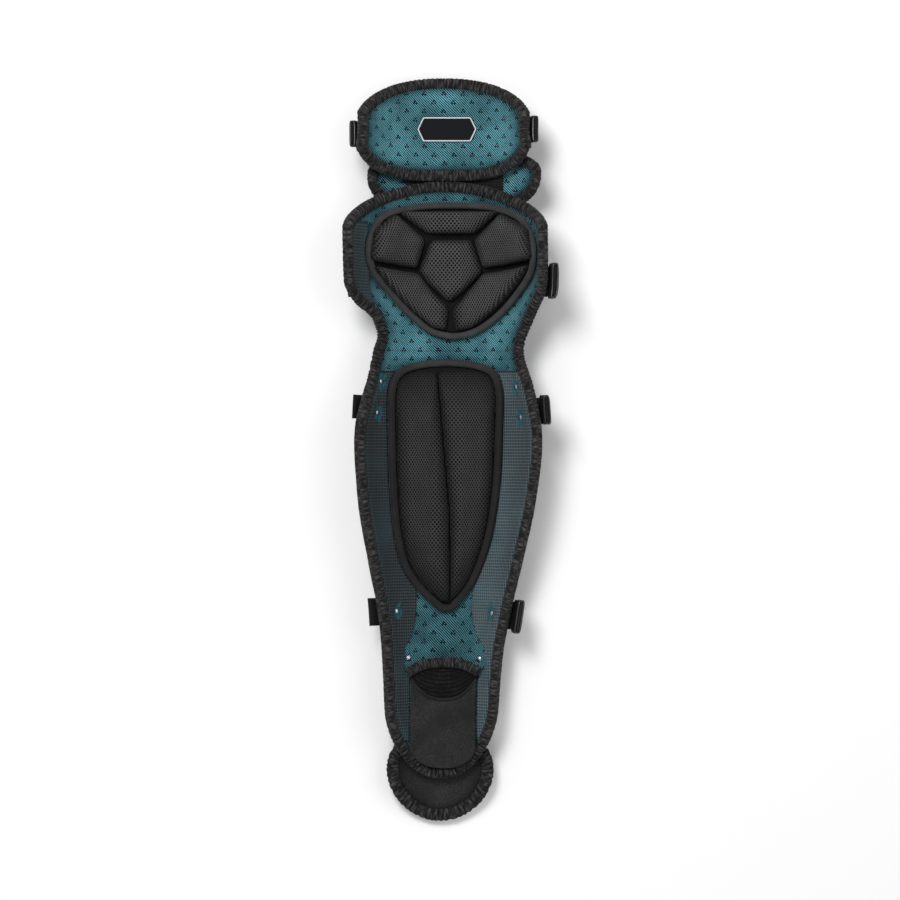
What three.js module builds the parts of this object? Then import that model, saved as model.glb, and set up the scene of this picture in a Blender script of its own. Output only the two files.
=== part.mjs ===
// Catcher's leg guard for one leg, lying on its hard outer side with the lining up.
// Millimetres. +Y runs up the leg, +X is to the right as the leg sees it, +Z points to the leg.
// Every piece is laid on one trough-shaped leg form. A place on the form has three numbers:
// across (arc length from the middle of the valley), along (up the leg) and lift (towards the leg).

import * as THREE from 'three';

// Overall sizes of the guard
const legLength = 479.5;
const kneeHalf = 81.5;
const neckHalf = 68;
const calfHalf = 74.8;
const ankleHalf = 47.5;
const thighHalf = 68.4;
const thighHeight = 84;
const flapHalf = 69;
const flapRise = 23.5;
const flapDrop = 33;
const flapShift = 5.2;
const toeHalf = 43.5;
const toeRise = 36.8;
const toeDrop = 43.2;
const kneeDome = 38.7;
const ankleDome = 59.8;

// How far each part wraps round the leg, in degrees from the bottom of the valley
const kneeWrap = 82;
const calfWrap = 80;
const ankleWrap = 74;
const thighWrap = 66;
const toeWrap = 60;
const keelHalf = 12;

// Thickness of the layers
const linerThick = 7;
const linerPinch = 1.2;
const bindingWidth = 9.4;
const bindingThick = 8.6;
const shellThick = 3;
const flapLinerThick = 4.5;
const flapBindingThick = 6.8;
const flapShellThick = 1.7;
const strapWidth = 24;
const strapSlant = 2;
const strapThick = 1.6;
const linkThick = 2.4;
const linkHalf = 38;
const linkShift = 8;
const meshThick = 1;
const stripStep = 12;
const labelThick = 0.8;
const labelHalf = 24;
const labelHeight = 20;
const pocketThick = 1.2;
const panelThick = 3.5;
const padBaseThick = 2.5;
const kneeCushionHeight = 11;
const shinCushionHeight = 10;

// Clearances
const layerGap = 0.75;
const edgeGap = 0.3;
const padGap = 1;
const cushionGap = 1.4;
const strapGap = 0.9;
const shellInset = 12;
const plateCorner = 22;
const plateEnd = 0.88;
const plateFan = 0.7;
const thighPlateShare = 0.9;
const flapPlateShare = 0.96;
const toePlateShare = 0.9;

// Gathers of the bindings: one ring in two is fat, the next one is drawn in
const gatherPitch = 12;
const gatherDepth = 0.09;
const rollSides = 5;

// Sizes of the pads on the lining
const kneePadHalf = 66;
const kneePadShift = 2.8;
const kneePadPlace = 0.864;
const kneePadRise = 48;
const kneePadDrop = 61.6;
const kneeTapeWidth = 5.3;
const shinPadHalf = 44.4;
const shinPadShift = -1.5;
const shinPadPlace = 0.7;
const shinPadLength = 200.8;
const shinTapeWidth = 5.9;
const tapeThick = 4.6;
const seamWidth = 0.9;

// Straps and their plastic slides
const slideWall = 1.8;
const slideLength = 12;
const slideCorner = 2;
const slideClearance = 0.5;
const strapTail = 1;
const rivetRadius = 2.2;
const rivetHeight = 0.9;

// Heights of the layers, measured as lift on the leg form
const shellHigh = -layerGap;
const shellLow = shellHigh - shellThick;
const strapHigh = shellLow - strapGap;
const strapLow = strapHigh - strapThick;
const flapHigh = shellLow - layerGap - flapBindingThick / 2 + flapLinerThick / 2;
const flapLow = flapHigh - flapLinerThick;
const flapShellHigh = flapLow - layerGap;
const flapShellLow = flapShellHigh - flapShellThick;
const linkLow = flapHigh + layerGap + padGap * 1.2;
const baseHigh = linerThick + padGap + padBaseThick;
const valleyFloor = -strapLow;

// The leg form: along (share of the leg length), half width, wrap, sideways shift (share of the knee
// half width) and rise of the valley (share of the knee half width)
const formTable = [
  { at: -0.074, half: toeHalf * 1.04, wrap: toeWrap, shift: -0.069, rise: 0.105 },
  { at: 0.006, half: toeHalf * 1.06, wrap: toeWrap * 1.04, shift: -0.061, rise: 0.1 },
  { at: 0.095, half: ankleHalf * 0.975, wrap: ankleWrap * 0.9, shift: -0.056, rise: 0.08 },
  { at: 0.204, half: ankleHalf * 1.03, wrap: ankleWrap * 0.96, shift: -0.045, rise: 0.022 },
  { at: 0.277, half: ankleHalf * 1.125, wrap: ankleWrap, shift: -0.026, rise: 0 },
  { at: 0.365, half: calfHalf * 0.829, wrap: calfWrap * 0.96, shift: -0.015, rise: 0.012 },
  { at: 0.47, half: calfHalf * 0.952, wrap: calfWrap * 0.99, shift: 0, rise: 0.033 },
  { at: 0.563, half: calfHalf, wrap: calfWrap, shift: 0.013, rise: 0.047 },
  { at: 0.62, half: calfHalf * 0.972, wrap: calfWrap, shift: 0.013, rise: 0.049 },
  { at: 0.717, half: neckHalf, wrap: kneeWrap * 0.96, shift: 0.013, rise: 0.03 },
  { at: 0.765, half: neckHalf * 1.066, wrap: kneeWrap * 0.98, shift: 0.008, rise: 0.013 },
  { at: 0.83, half: kneeHalf * 0.995, wrap: kneeWrap, shift: -0.01, rise: 0 },
  { at: 0.925, half: kneeHalf, wrap: kneeWrap * 0.98, shift: -0.018, rise: 0.085 },
  { at: 1.0, half: kneeHalf * 0.93, wrap: kneeWrap * 0.88, shift: -0.02, rise: 0.155 },
  { at: 1.082, half: thighHalf * 1.015, wrap: thighWrap, shift: -0.034, rise: 0.075 },
  { at: 1.178, half: thighHalf * 1.03, wrap: thighWrap * 0.95, shift: -0.034, rise: 0.03 },
];

// Where the edge of the main liner leaves the form: shares of the half width, left and right
const edgeTable = [
  { at: 0.59, left: 1, right: 1 },
  { at: 0.631, left: 0.975, right: 0.985 },
  { at: 0.664, left: 0.945, right: 0.965 },
  { at: 0.717, left: 0.9, right: 0.905 },
  { at: 0.746, left: 0.83, right: 0.93 },
  { at: 0.765, left: 0.835, right: 0.955 },
  { at: 0.796, left: 0.965, right: 0.985 },
  { at: 0.83, left: 1, right: 1 },
];

// Outline of the knee pad: shares of its half width and of its rise or drop
const kneePadTable = [
  { x: 0, y: 1 },
  { x: -0.5, y: 0.95 },
  { x: -0.82, y: 0.8 },
  { x: -0.965, y: 0.47 },
  { x: -1, y: 0.12 },
  { x: -0.93, y: -0.17 },
  { x: -0.73, y: -0.44 },
  { x: -0.47, y: -0.74 },
  { x: -0.24, y: -0.93 },
  { x: 0.05, y: -1 },
  { x: 0.34, y: -0.92 },
  { x: 0.62, y: -0.7 },
  { x: 0.84, y: -0.42 },
  { x: 0.97, y: -0.18 },
  { x: 1, y: 0.1 },
  { x: 0.97, y: 0.45 },
  { x: 0.84, y: 0.76 },
  { x: 0.52, y: 0.95 },
];

// Corners of the six knee cushions: shares of the pad's half width, and of its rise or drop
const kneeCushionTable = {
  centre: [[-0.22, 0.36], [-0.37, -0.12], [-0.02, -0.5], [0.37, -0.12], [0.24, 0.36]],
  top: [[-0.56, 0.8], [-0.28, 0.5], [0.28, 0.5], [0.5, 0.8]],
  upper_left: [[-0.62, 0.72], [-0.84, 0.48], [-0.86, 0.05], [-0.41, -0.06], [-0.31, 0.37]],
  upper_right: [[0.52, 0.74], [0.29, 0.37], [0.39, -0.06], [0.86, 0.05], [0.84, 0.48]],
  lower_left: [[-0.81, -0.13], [-0.65, -0.34], [-0.2, -0.8], [-0.11, -0.82], [-0.05, -0.64], [-0.39, -0.2]],
  lower_right: [[0.81, -0.13], [0.39, -0.2], [0.05, -0.64], [0.12, -0.82], [0.22, -0.79], [0.68, -0.34]],
};

// Outline of the shin pad from its top (along 0) to its tip (along 1): left and right half widths
const shinPadTable = [
  { down: 0, left: 0.36, right: 0.4 },
  { down: 0.035, left: 0.82, right: 0.86 },
  { down: 0.1, left: 0.975, right: 1 },
  { down: 0.3, left: 1, right: 1.01 },
  { down: 0.5, left: 0.975, right: 0.965 },
  { down: 0.7, left: 0.89, right: 0.83 },
  { down: 0.82, left: 0.76, right: 0.66 },
  { down: 0.9, left: 0.55, right: 0.5 },
  { down: 0.96, left: 0.3, right: 0.3 },
  { down: 1, left: 0.08, right: 0.13 },
];
const seamTop = -0.16;
const seamTip = 0.09;

// Inner edges of the mesh strips beside the shin pad, in shares of the half width of the form;
// beside the pad itself they end a gap away from it
const sideMeshTable = [
  { at: 0.098, left: 0.61, right: 0.69 },
  { at: 0.135, left: 0.61, right: 0.69 },
  { at: 0.222, left: 0.66, right: 0.72 },
  { at: 0.256, left: 0.47, right: 0.51 },
  { at: 0.282, left: 0.425, right: 0.415 },
  { at: 0.317, left: 0.4, right: 0.4 },
];

// Straps: place along the leg, share of the strap width, angle in degrees at which each end stops,
// share of the strap slant, whether the guard rests on it, and the ends that carry a slide
const strapTable = [
  { name: 'thigh', at: 1.08, share: 0.71, left: 64, right: 65, slant: 1, rests: false, ends: 'both' },
  { name: 'knee', at: 0.83, share: 1, left: 62, right: 84, slant: 0, rests: true, ends: 'right' },
  { name: 'shin', at: 0.62, share: 0.79, left: 71, right: 82, slant: -0.75, rests: false, ends: 'right' },
  { name: 'ankle', at: 0.277, share: 0.92, left: 78, right: 85, slant: -1, rests: true, ends: 'right' },
];

// Rivets of the lining: name, share of the leg length, share of the form's half width, and whether
// the rivet goes through a mesh strip
const rivetTable = [
  { name: 'calf_left_upper', at: 0.665, across: -0.76, mesh: true },
  { name: 'calf_left_lower', at: 0.613, across: -0.77, mesh: true },
  { name: 'calf_right_upper', at: 0.656, across: 0.76, mesh: true },
  { name: 'calf_right_lower', at: 0.605, across: 0.78, mesh: true },
  { name: 'shin_left', at: 0.281, across: -0.7, mesh: true },
  { name: 'shin_right', at: 0.278, across: 0.7, mesh: true },
  { name: 'ankle_left', at: 0.202, across: -0.55, mesh: false },
  { name: 'ankle_right', at: 0.201, across: 0.6, mesh: false },
];

const radians = THREE.MathUtils.degToRad;

// Finishes
const finish = (color, roughness, metalness = 0) => ({ color, roughness, metalness });
const tealLining = finish(0x356571, 0.9);
const blackBinding = finish(0x2b2a29, 0.85);
const blackMesh = finish(0x262626, 0.9);
const greyTape = finish(0x3a3a3c, 0.8);
const blackShell = finish(0x101113, 0.25);
const blackWebbing = finish(0x1d1c1c, 0.85);
const blackPlastic = finish(0x151516, 0.35);
const blackCloth = finish(0x2a2a2a, 0.75);
const sideMesh = finish(0x2b3336, 0.9);
const labelFilm = finish(0x24282b, 0.45);
const rivetMetal = finish(0x9fb2b6, 0.35, 0.9);

const root = new THREE.Group();
const guard = new THREE.Group();
root.add(guard);

// Value of one column of a table at a share of the leg, with level ends and no overshoot
function smooth(rows, column, at) {
  const last = rows.length - 1;
  if (at <= rows[0].at) return rows[0][column];
  if (at >= rows[last].at) return rows[last][column];
  let i = 0;
  while (rows[i + 1].at < at) i += 1;
  const slope = (k) => (rows[k + 1][column] - rows[k][column]) / (rows[k + 1].at - rows[k].at);
  const tangent = (k) => {
    if (k === 0 || k === last || slope(k - 1) * slope(k) <= 0) return 0;
    return 2 / (1 / slope(k - 1) + 1 / slope(k));
  };
  const span = rows[i + 1].at - rows[i].at;
  const t = (at - rows[i].at) / span;
  const start = rows[i][column] * (1 + 2 * t) * (1 - t) ** 2 + tangent(i) * span * t * (1 - t) ** 2;
  return start + rows[i + 1][column] * t * t * (3 - 2 * t) - tangent(i + 1) * span * t * t * (1 - t);
}

// The section of the leg form at one place along the leg
function section(along) {
  const at = along / legLength;
  const wrap = radians(smooth(formTable, 'wrap', at));
  const half = smooth(formTable, 'half', at);
  return {
    half,
    wrap,
    radius: (half - keelHalf) / Math.sin(wrap),
    shift: smooth(formTable, 'shift', at) * kneeHalf,
    valley: valleyFloor + smooth(formTable, 'rise', at) * kneeHalf,
  };
}

// Point on the form, from across, along and lift
function place(across, along, lift, valley = null) {
  const form = section(along);
  const beyond = Math.max(Math.abs(across) - keelHalf, 0);
  const angle = beyond / form.radius;
  const flat = Math.min(Math.abs(across), keelHalf);
  const x = Math.sign(across) * (flat + (form.radius - lift) * Math.sin(angle));
  const z = form.radius - (form.radius - lift) * Math.cos(angle);
  return new THREE.Vector3(form.shift + x, along, (valley ?? form.valley) + z);
}

// Across value of a point of some lift that is seen at x when one looks straight into the trough
function acrossAt(x, along, lift = 0) {
  const form = section(along);
  const side = x - form.shift;
  if (Math.abs(side) <= keelHalf) return side;
  const sine = Math.min((Math.abs(side) - keelHalf) / (form.radius - lift), Math.sin(form.wrap));
  return Math.sign(side) * (keelHalf + form.radius * Math.asin(sine));
}

// Across value at an angle from the bottom of the valley, in degrees
function acrossAngle(angle, along) {
  return keelHalf + section(along).radius * radians(angle);
}

// Across value at a share of the form's half width, seen from straight above
function acrossShare(share, along, lift = 0) {
  const form = section(along);
  return acrossAt(form.shift + share * form.half, along, lift);
}

function addMesh(name, vertices, faces, look) {
  const geometry = new THREE.BufferGeometry();
  const positions = vertices.flatMap((v) => [v.x, v.y, v.z]);
  geometry.setAttribute('position', new THREE.Float32BufferAttribute(positions, 3));
  geometry.setIndex(faces.flat());
  geometry.computeVertexNormals();
  const mesh = new THREE.Mesh(geometry, new THREE.MeshStandardMaterial(look));
  mesh.name = name;
  guard.add(mesh);
  return mesh;
}

const quad = (a, b, c, d) => [[a, b, c], [a, c, d]];

// Slab on the form: a grid of columns and rows with a low and a high face
function addSlab(name, look, columns, rows, at, low, high, valley = null) {
  const vertices = [];
  const index = (u, v, face) => 2 * (v * columns.length + u) + face;
  rows.forEach((v) => {
    columns.forEach((u) => {
      const spot = at(u, v);
      vertices.push(place(spot.across, spot.along, low(u, v), valley));
      vertices.push(place(spot.across, spot.along, high(u, v), valley));
    });
  });
  const faces = [];
  const endU = columns.length - 1;
  const endV = rows.length - 1;
  for (let v = 0; v < endV; v += 1) {
    for (let u = 0; u < endU; u += 1) {
      faces.push(...quad(index(u, v, 1), index(u + 1, v, 1), index(u + 1, v + 1, 1), index(u, v + 1, 1)));
      faces.push(...quad(index(u, v, 0), index(u, v + 1, 0), index(u + 1, v + 1, 0), index(u + 1, v, 0)));
    }
    faces.push(...quad(index(0, v + 1, 0), index(0, v, 0), index(0, v, 1), index(0, v + 1, 1)));
    faces.push(...quad(index(endU, v, 0), index(endU, v + 1, 0), index(endU, v + 1, 1), index(endU, v, 1)));
  }
  for (let u = 0; u < endU; u += 1) {
    faces.push(...quad(index(u, 0, 0), index(u + 1, 0, 0), index(u + 1, 0, 1), index(u, 0, 1)));
    faces.push(...quad(index(u + 1, endV, 0), index(u, endV, 0), index(u, endV, 1), index(u + 1, endV, 1)));
  }
  return addMesh(name, vertices, faces, look);
}

// Disc on the form: rings that shrink from an outline to its centre, with a low and a high face
function addDisc(name, look, outline, rings, low, high) {
  const centre = outline.reduce((sum, p) => sum.add(p), new THREE.Vector2()).divideScalar(outline.length);
  const count = outline.length;
  const vertices = [];
  rings.forEach((share) => {
    outline.forEach((p) => {
      const spot = centre.clone().lerp(p, share);
      vertices.push(place(spot.x, spot.y, low(share)));
      vertices.push(place(spot.x, spot.y, high(share)));
    });
  });
  vertices.push(place(centre.x, centre.y, low(0)));
  vertices.push(place(centre.x, centre.y, high(0)));
  const index = (ring, k, face) => 2 * (ring * count + (k % count)) + face;
  const middle = 2 * rings.length * count;
  const faces = [];
  for (let k = 0; k < count; k += 1) {
    for (let ring = 0; ring + 1 < rings.length; ring += 1) {
      const next = ring + 1;
      faces.push(...quad(index(ring, k, 1), index(ring, k + 1, 1), index(next, k + 1, 1), index(next, k, 1)));
      faces.push(...quad(index(ring, k, 0), index(next, k, 0), index(next, k + 1, 0), index(ring, k + 1, 0)));
    }
    const inner = rings.length - 1;
    faces.push([index(inner, k, 1), index(inner, k + 1, 1), middle + 1]);
    faces.push([index(inner, k + 1, 0), index(inner, k, 0), middle]);
    faces.push(...quad(index(0, k, 0), index(0, k + 1, 0), index(0, k + 1, 1), index(0, k, 1)));
  }
  return addMesh(name, vertices, faces, look);
}

// Roll on the form: a path swept by an oval, drawn in at every second ring
function addRoll(name, look, path, size, closed = true) {
  const { width, thick, lift, sides, gather = 0 } = size;
  const count = path.length;
  const spots = path.map((p) => place(p.x, p.y, lift));
  const vertices = [];
  spots.forEach((spot, i) => {
    const after = closed ? spots[(i + 1) % count] : spots[Math.min(i + 1, count - 1)];
    const before = closed ? spots[(i + count - 1) % count] : spots[Math.max(i - 1, 0)];
    const tangent = after.clone().sub(before).normalize();
    const lifted = place(path[i].x, path[i].y, lift + 1).sub(spot);
    const outward = tangent.clone().cross(lifted).normalize();
    const normal = outward.clone().cross(tangent);
    const swell = i % 2 === 0 ? 1 : 1 - gather;
    for (let k = 0; k < sides; k += 1) {
      const turn = (2 * Math.PI * (k + 0.5)) / sides;
      const side = outward.clone().multiplyScalar((Math.cos(turn) * width * swell) / 2);
      const rise = normal.clone().multiplyScalar((Math.sin(turn) * thick * swell) / 2);
      vertices.push(spot.clone().add(side).add(rise));
    }
  });
  const index = (i, k) => (i % count) * sides + (k % sides);
  const faces = [];
  const lengths = closed ? count : count - 1;
  for (let i = 0; i < lengths; i += 1) {
    for (let k = 0; k < sides; k += 1) {
      faces.push(...quad(index(i, k), index(i + 1, k), index(i + 1, k + 1), index(i, k + 1)));
    }
  }
  if (!closed) {
    for (let k = 1; k + 1 < sides; k += 1) {
      faces.push([index(0, 0), index(0, k), index(0, k + 1)]);
      faces.push([index(count - 1, 0), index(count - 1, k + 1), index(count - 1, k)]);
    }
  }
  return addMesh(name, vertices, faces, look);
}

// Outline, as points of across and along, moved inwards by a distance
function inset(outline, distance) {
  const count = outline.length;
  return outline.map((p, i) => {
    const after = outline[(i + 1) % count];
    const before = outline[(i + count - 1) % count];
    const tangent = after.clone().sub(before).normalize();
    return new THREE.Vector2(p.x - tangent.y * distance, p.y + tangent.x * distance);
  });
}

// The same outline with evenly spaced points
function evenly(outline, count, closed = true) {
  const loop = closed ? [...outline, outline[0]] : outline;
  const reach = [0];
  for (let i = 1; i < loop.length; i += 1) reach.push(reach[i - 1] + loop[i].distanceTo(loop[i - 1]));
  const total = reach[reach.length - 1];
  const steps = closed ? count : count - 1;
  let k = 0;
  return Array.from({ length: count }, (_, i) => {
    const target = (total * i) / steps;
    while (k + 2 < loop.length && reach[k + 1] < target) k += 1;
    return loop[k].clone().lerp(loop[k + 1], (target - reach[k]) / (reach[k + 1] - reach[k]));
  });
}

function lengthOf(outline) {
  return outline.reduce((sum, p, i) => sum + p.distanceTo(outline[(i + 1) % outline.length]), 0);
}

const gatherCount = (outline) => 2 * Math.round(lengthOf(outline) / gatherPitch / 2);

// Left and right ends of an outline at one place along the leg
function span(outline, along) {
  const ends = { left: 0, right: 0 };
  outline.forEach((p, i) => {
    const q = outline[(i + 1) % outline.length];
    if ((p.y - along) * (q.y - along) > 0 || p.y === q.y) return;
    const across = p.x + ((q.x - p.x) * (along - p.y)) / (q.y - p.y);
    ends.left = Math.min(ends.left, across);
    ends.right = Math.max(ends.right, across);
  });
  return ends;
}

// Oval outline seen from above, with its own rise, drop and squareness above and below its centre
function oval(centreX, centreY, half, rise, drop, squareUp, squareDown, lift) {
  const steps = 180;
  return Array.from({ length: steps }, (_, i) => {
    const turn = (2 * Math.PI * i) / steps;
    const up = Math.sin(turn) >= 0;
    const power = 2 / (up ? squareUp : squareDown);
    const x = centreX + Math.sign(Math.cos(turn)) * half * Math.abs(Math.cos(turn)) ** power;
    const y = centreY + Math.sign(Math.sin(turn)) * (up ? rise : drop) * Math.abs(Math.sin(turn)) ** power;
    return new THREE.Vector2(acrossAt(x, y, lift), y);
  });
}

// Closed curve through points seen from above
function curveThrough(points, lift) {
  const knots = points.map((p) => new THREE.Vector3(p[0], p[1], 0));
  const curve = new THREE.CatmullRomCurve3(knots, true);
  const fine = 12 * points.length;
  return curve.getPoints(fine).slice(0, fine).map((p) => new THREE.Vector2(acrossAt(p.x, p.y, lift), p.y));
}

// Evenly shared columns from -1 to 1
const columnsOf = (count) => Array.from({ length: count + 1 }, (_, i) => (2 * i) / count - 1);

// Rows between two places along the leg, closer together where the ends are round
function rowsOf(low, high, lowRound, highRound, pitch, roundRows = 4) {
  const rows = [];
  for (let i = 0; i < roundRows; i += 1) {
    rows.push(low + lowRound * (1 - Math.cos((Math.PI / 2) * (i / roundRows))));
  }
  const plain = high - highRound - low - lowRound;
  const count = Math.round(plain / pitch);
  for (let i = 0; i <= count; i += 1) rows.push(low + lowRound + (plain * i) / count);
  for (let i = 1; i <= roundRows; i += 1) {
    rows.push(high - highRound * (1 - Math.sin((Math.PI / 2) * (i / roundRows))));
  }
  return rows;
}

// Main liner from knee to ankle: its outline has an oval knee end and an oval ankle end
function mainOutline() {
  const steps = 160;
  const edge = (i, side) => {
    const along = (legLength * (1 - Math.cos((Math.PI * i) / steps))) / 2;
    const kneeShare = Math.max((along - legLength + kneeDome) / kneeDome, 0);
    const ankleShare = Math.max((ankleDome - along) / ankleDome, 0);
    const round = Math.sqrt(Math.max(1 - kneeShare ** 2 - ankleShare ** 2, 0));
    const share = round * smooth(edgeTable, side, along / legLength);
    return new THREE.Vector2(acrossShare(side === 'right' ? share : -share, along), along);
  };
  const right = Array.from({ length: steps }, (_, i) => edge(i, 'right'));
  const left = Array.from({ length: steps }, (_, i) => edge(steps - i, 'left'));
  return evenly([...right, ...left], 4 * steps);
}

const mainEdge = mainOutline();

// Rows of the main liner, close together at the round ends and where the neck is cut in
function linerRows(outline) {
  const tip = 0.6;
  const low = Math.min(...outline.map((p) => p.y)) + tip;
  const high = Math.max(...outline.map((p) => p.y)) - tip;
  const neckLow = 0.7 * legLength;
  const neckHigh = 0.83 * legLength;
  const ankleEnd = rowsOf(low, neckLow, ankleDome * 0.7, 0, 28, 4);
  const neck = rowsOf(neckLow, neckHigh, 0, 0, 10, 0);
  const kneeEnd = rowsOf(neckHigh, high, 0, kneeDome * 0.6, 20, 4);
  return [...new Set([...ankleEnd, ...neck, ...kneeEnd])].sort((a, b) => a - b);
}

const linerEdge = inset(mainEdge, bindingWidth + padGap);
const mainRows = linerRows(linerEdge);
const mainColumns = columnsOf(14);

// The rows of the main liner that lie between two places, with those two as ends
function rowsBetween(low, high) {
  const nearest = 3;
  return [low, ...mainRows.filter((row) => row > low + nearest && row < high - nearest), high];
}

function addMainLiner() {
  const at = (u, along) => {
    const ends = span(linerEdge, along);
    return { across: u < 0 ? -u * ends.left : u * ends.right, along };
  };
  const high = (u, along) => {
    const atEdge = Math.abs(u) === 1 || along === mainRows[0] || along === mainRows[mainRows.length - 1];
    return atEdge ? linerThick - linerPinch : linerThick;
  };
  addSlab('main_liner', tealLining, mainColumns, mainRows, at, () => 0, high);
  const ring = inset(mainEdge, bindingWidth / 2);
  const path = evenly(ring, gatherCount(ring));
  const lift = linerThick / 2;
  const size = { width: bindingWidth, thick: bindingThick, lift, sides: rollSides, gather: gatherDepth };
  addRoll('main_binding', blackBinding, path, size);
}

const nearestRow = (along) => mainRows.reduce((a, b) => (Math.abs(b - along) < Math.abs(a - along) ? b : a));

// Hard plate under the main liner between two of its rows, on the same columns, with cut corners
function addPlate(name, low, high) {
  const body = inset(mainEdge, shellInset);
  const rows = mainRows.filter((row) => row >= low && row <= high);
  const at = (u, along) => {
    const side = u < 0 ? 'left' : 'right';
    const near = Math.min(along - low, high - along, plateCorner) / plateCorner;
    const reach = Math.abs(span(body, along)[side]) * (plateEnd + (1 - plateEnd) * near);
    const widest = reach * (plateFan + (1 - plateFan) * Math.abs(u));
    const across = Math.min(Math.abs(u * span(linerEdge, along)[side]), widest);
    return { across: Math.sign(u) * (Math.abs(u) === 1 ? reach : across), along };
  };
  addSlab(name, blackShell, mainColumns, rows, at, () => shellLow, () => shellHigh);
}

function addShells() {
  const kneeLow = nearestRow(0.745 * legLength);
  const shinHigh = nearestRow(0.725 * legLength);
  addPlate('knee_shell', kneeLow, nearestRow(legLength - bindingWidth - shellInset / 2));
  addPlate('shin_shell', nearestRow(bindingWidth + shellInset / 2), shinHigh);
}

// Oval padded part with its liner, gathered binding and hard plate
function addOvalPart(prefix, look, outline, size) {
  const { points, rings } = size;
  const body = evenly(inset(outline, size.bindingWidth + size.edgeGap), points);
  const high = (share) => (share === 1 ? size.high - size.pinch : size.high);
  addDisc(`${prefix}_liner`, look, body, rings, () => size.low, high);
  const ring = inset(outline, size.bindingWidth / 2);
  const lift = (size.low + size.high) / 2;
  const { bindingWidth: width, bindingThick: thick } = size;
  const roll = { width, thick, lift, sides: rollSides, gather: gatherDepth };
  addRoll(`${prefix}_binding`, blackBinding, evenly(ring, gatherCount(ring)), roll);
  const plateRings = [size.plateShare, ...rings.slice(1)];
  addDisc(`${prefix}_shell`, blackShell, body, plateRings, () => size.shellLow, () => size.shellHigh);
}

const thighCentre = legLength - edgeGap + thighHeight / 2;

function addThighGuard() {
  const shift = section(thighCentre).shift;
  const reach = thighHeight / 2;
  const outline = oval(shift, thighCentre, thighHalf, reach, reach, 2.3, 3.1, linerThick / 2);
  addOvalPart('thigh', tealLining, outline, {
    low: 0,
    high: linerThick,
    pinch: linerPinch,
    bindingWidth,
    edgeGap: padGap * 2.8,
    bindingThick,
    plateShare: thighPlateShare,
    shellLow,
    shellHigh,
    points: 20,
    rings: [1, 0.78, 0.52, 0.26],
  });
  const corners = [[0.8, -0.5], [1, 0], [0.8, 0.5], [-0.8, 0.5], [-1, 0], [-0.8, -0.5]];
  const points = corners.map((c) => {
    const y = thighCentre + c[1] * labelHeight;
    return new THREE.Vector2(acrossAt(c[0] * labelHalf, y, linerThick), y);
  });
  const low = linerThick + padGap;
  const rings = [1, 0.5];
  addDisc('thigh_label', labelFilm, evenly(points, 12), rings, () => low, () => low + labelThick);
}

function addKneeFlap() {
  const centre = legLength + 4.3;
  const lift = (flapLow + flapHigh) / 2;
  const outline = oval(flapShift, centre, flapHalf, flapRise, flapDrop, 2.5, 2.5, lift);
  addOvalPart('flap', tealLining, outline, {
    low: flapLow,
    high: flapHigh,
    pinch: linerPinch / 2,
    bindingWidth,
    edgeGap: padGap + layerGap,
    bindingThick: flapBindingThick,
    plateShare: flapPlateShare,
    shellLow: flapShellLow,
    shellHigh: flapShellHigh,
    points: 20,
    rings: [1, 0.72, 0.38],
  });
}

// Ribbed elastic band between the thigh guard, the flap and the knee
function addLinkBand() {
  const rows = [-10, -5, 0, 5].map((step) => legLength + step);
  const at = (u, along) => ({ across: linkShift + u * linkHalf, along });
  addSlab('link_band', blackWebbing, columnsOf(8), rows, at, () => linkLow, () => linkLow + linkThick);
}

function addToeFlap() {
  const centre = 8;
  const lift = (flapLow + flapHigh) / 2;
  const outline = oval(section(centre).shift - 0.6, centre, toeHalf, toeRise, toeDrop, 2, 2, lift);
  addOvalPart('toe', blackCloth, outline, {
    low: flapLow,
    high: flapHigh,
    pinch: linerPinch / 2,
    bindingWidth: bindingWidth * 1.15,
    edgeGap: padGap,
    bindingThick: flapBindingThick,
    plateShare: toePlateShare,
    shellLow: flapShellLow,
    shellHigh: flapShellHigh,
    points: 18,
    rings: [1, 0.72, 0.38],
  });
}

// A pad's backing and the tape round its edge
function addPadBase(prefix, outline, tapeWidth, points, rings) {
  const body = evenly(inset(outline, tapeWidth + padGap * 1.3), points);
  const low = linerThick + padGap;
  addDisc(`${prefix}_base`, blackMesh, body, rings, () => low, () => baseHigh);
  const path = evenly(inset(outline, tapeWidth / 2), Math.round(lengthOf(outline) / 14));
  const lift = low + tapeThick / 2;
  addRoll(`${prefix}_tape`, greyTape, path, { width: tapeWidth, thick: tapeThick, lift, sides: rollSides });
}

// Crowned cushion on a pad's backing
function addCushion(name, outline, height) {
  const low = baseHigh + cushionGap;
  const crown = (share) => low + height * (0.2 + 0.8 * Math.sqrt(1 - share ** 5));
  const rings = [1, 0.9, 0.6];
  addDisc(name, blackMesh, outline, rings, () => low, crown);
}

// Points of the two pads seen from above, from the shares of their tables
function kneePadSeen(x, y) {
  const reach = y > 0 ? kneePadRise : kneePadDrop;
  return [kneePadShift + x * kneePadHalf, kneePadPlace * legLength + y * reach];
}

function shinPadSeen(x, down) {
  return [shinPadShift + x * shinPadHalf, shinPadPlace * legLength - down * shinPadLength];
}

const kneePadEdge = curveThrough(kneePadTable.map((p) => kneePadSeen(p.x, p.y)), baseHigh);
const shinPadLeft = shinPadTable.map((p) => shinPadSeen(-p.left, p.down));
const shinPadRight = shinPadTable.map((p) => shinPadSeen(p.right, p.down)).reverse();
const shinPadEdge = curveThrough([...shinPadLeft, ...shinPadRight], baseHigh);

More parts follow.
